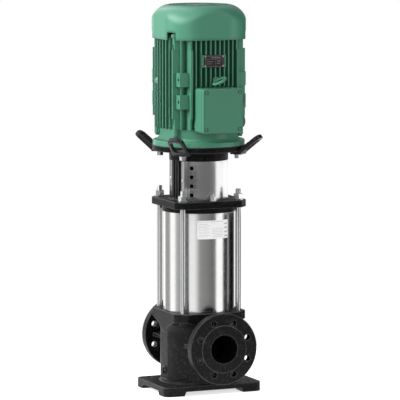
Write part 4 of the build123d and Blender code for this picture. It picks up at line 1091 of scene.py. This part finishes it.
@dataclass
class Studio:
    """Camera, lamps, surroundings and floor.

    Reflections show walls whose brightness changes round the compass. Towards the ceiling it
    grows by ceiling_gain, between two sines of the angle above the horizon.
    """

    azimuth: float = 23.485
    elevation: float = 6.522
    distance: float = 9.41325
    lens: float = 290.56
    sensor: float = 36.0
    shift_x: float = 0.003375
    aim_height: float = 0.55558
    floor_radius: float = 0.8
    floor_sides: int = 96
    floor_colour: str = "#E6E6E6"
    floor_lift: float = 0.67
    soft_level: float = 0.5
    mirror_level: float = 1.55
    ceiling_start: float = 0.1
    ceiling_full: float = 0.8
    ceiling_gain: float = 1.8
    # Bearing in degrees and brightness there.
    walls: tuple[tuple[float, float], ...] = (
        (-180, 1.0),
        (-163, 1.0),
        (-160, 0.3),
        (-131, 0.3),
        (-128, 1.0),
        (-107, 1.0),
        (-103, 0.46),
        (-84, 0.27),
        (-60, 0.3),
        (-54, 0.82),
        (-36, 0.82),
        (-20, 0.25),
        (6, 0.19),
        (33, 0.09),
        (35, 1.0),
        (61, 1.0),
        (63, 0.03),
        (94, 0.03),
        (97, 0.004),
        (126, 0.004),
        (130, 0.2),
        (168, 0.2),
        (173, 1.0),
        (180, 1.0),
    )
    lamps: tuple[Lamp, ...] = (
        Lamp("key", place=(-0.35, -2.6, 1.95), face=(1.2, 1.8), watts=138.0),
        Lamp("front_fill", place=(3.2, 0.4, 1.4), face=(1.5, 1.5), watts=42.0),
    )
    cards: tuple[Card, ...] = (
        Card("dark_flag_left_of_the_guard", (-75, -30), (0.5, 0.655), level=0.09, radius=0.5),
        Card("grey_flag_before_the_guard", (-30, 41), (0.5, 0.655), level=0.22, radius=0.5),
        Card("white_strip_right_of_the_guard", (46, 125), (0.5, 0.655), level=1.7, radius=0.5),
        Card("softbox_for_the_motor_corners", (-130, -72), (1.1, 2.6), level=1.6),
        Card("softbox_above_the_motor_corners", (-128, -58), (1.72, 2.55), level=7.0, radius=1.5),
    )

    @property
    def aim(self) -> Vector:
        """Point in the pump's middle at which the camera and the lamps look."""
        return Vector((0, 0, self.aim_height))

    def build(self) -> None:
        """Builds the whole studio."""
        self.camera()
        self.surroundings()
        for lamp in self.lamps:
            lamp.build(self.aim)
        self.floor()
        for card in self.cards:
            card.build()
        bpy.context.scene.view_settings.view_transform = "Standard"

    def camera(self) -> None:
        """Places the camera and makes it the scene's."""
        a, e = math.radians(self.azimuth), math.radians(self.elevation)
        back = Vector((math.cos(a) * math.cos(e), -math.sin(a) * math.cos(e), math.sin(e)))
        data = bpy.data.cameras.new("camera")
        data.lens = self.lens
        data.sensor_width = self.sensor
        data.shift_x = self.shift_x
        data.clip_end = 100.0
        eye = bpy.data.objects.new("camera", data)
        eye.location = self.aim + back * self.distance
        eye.rotation_mode = "QUATERNION"
        eye.rotation_quaternion = (-back).to_track_quat("-Z", "Y")
        bpy.context.scene.collection.objects.link(eye)
        bpy.context.scene.camera = eye

    def surroundings(self) -> None:
        """Makes the world: white to the camera, soft grey light, walls in reflections."""
        world = bpy.data.worlds.new("studio")
        bpy.context.scene.world = world
        tree = cleared_tree(world)
        path = add_node(tree, "LightPath").outputs
        way = add_node(tree, "TexCoord").outputs["Generated"]
        parts = add_node(tree, "SeparateXYZ", links={0: way}).outputs
        bearing = add_node(tree, "Math", {"operation": "ARCTAN2"}, {0: parts["Y"], 1: parts["X"]})
        full_turn = {"From Min": -math.pi, "From Max": math.pi}
        turn = add_node(tree, "MapRange", full_turn, {"Value": bearing.outputs[0]})
        walls = add_node(tree, "ValToRGB", links={0: turn.outputs[0]})
        self.paint_walls(walls.color_ramp)
        heights = {
            "From Min": self.ceiling_start,
            "From Max": self.ceiling_full,
            "To Min": 1.0,
            "To Max": self.ceiling_gain,
        }
        gain = add_node(tree, "MapRange", heights, {"Value": parts["Z"]}).outputs[0]
        times_level = {"operation": "MULTIPLY", 1: self.mirror_level}
        level = add_node(tree, "Math", times_level, {0: gain}).outputs[0]
        mirror = add_node(
            tree, "Background", links={"Color": walls.outputs[0], "Strength": level}
        )
        soft, white = (
            add_node(tree, "Background", {"Color": linear(WHITE), "Strength": strength})
            for strength in (self.soft_level, 1.0)
        )
        reflected = {0: path["Is Glossy Ray"], 1: path["Is Transmission Ray"]}
        in_mirror = add_node(tree, "Math", {"operation": "MAXIMUM"}, reflected)
        shown = soft.outputs[0]
        for seen_by, light in (
            (in_mirror.outputs[0], mirror),
            (path["Is Camera Ray"], white),
        ):
            sources = {0: seen_by, 1: shown, 2: light.outputs[0]}
            shown = add_node(tree, "MixShader", links=sources).outputs[0]
        add_node(tree, "OutputWorld", links={"Surface": shown})
        log.info("studio: %d wall stops", len(self.walls))

    def paint_walls(self, ramp: bpy.types.ColorRamp) -> None:
        """Sets the brightness of the studio's walls round the compass.

        Args:
            ramp: Ramp from bearing -180 to 180 degrees.
        """
        while len(ramp.elements) < len(self.walls):
            ramp.elements.new(0.5)
        for stop, (bearing, _) in zip(ramp.elements, self.walls):
            stop.position = (bearing + 180) / 360
        for stop, (_, level) in zip(ramp.elements, self.walls):
            stop.color = (level, level, level, 1.0)

    def floor(self) -> None:
        """Lays a round pale floor that keeps the pump's shadow."""
        mesh = bmesh.new()
        bmesh.ops.create_circle(
            mesh, cap_ends=True, segments=self.floor_sides, radius=self.floor_radius
        )
        board = bpy.data.materials.new("matt_white_board")
        tree = cleared_tree(board)
        path = add_node(tree, "LightPath").outputs
        matt = add_node(tree, "BsdfDiffuse", {"Color": linear(self.floor_colour)})
        seen = path["Is Camera Ray"]
        for ray in ("Is Glossy Ray", "Is Transmission Ray"):
            either = add_node(tree, "Math", {"operation": "MAXIMUM"}, {0: seen, 1: path[ray]})
            seen = either.outputs[0]
        times_lift = {"operation": "MULTIPLY", 1: self.floor_lift}
        lift = add_node(tree, "Math", times_lift, {0: seen}).outputs[0]
        glow = add_node(tree, "Emission", {"Color": linear(WHITE)}, {"Strength": lift})
        both = add_node(tree, "AddShader", links={0: matt.outputs[0], 1: glow.outputs[0]})
        add_node(tree, "OutputMaterial", links={"Surface": both.outputs[0]})
        floor = object_from("floor", mesh, board)
        log.info("floor: %.1f m across", 2 * self.floor_radius)


# ---- Main --------------------------------------------------------------------------------


def main() -> None:
    """Builds the studio and every sub-assembly."""
    logging.basicConfig(level=logging.INFO, format="%(message)s")
    for part in (Studio(), PumpBase(), TieRods(), HydraulicStack(), Lantern(), Motor()):
        log.info("== %s", type(part).__name__)
        part.build()
    bpy.context.view_layer.update()


if __name__ == "__main__":
    main()
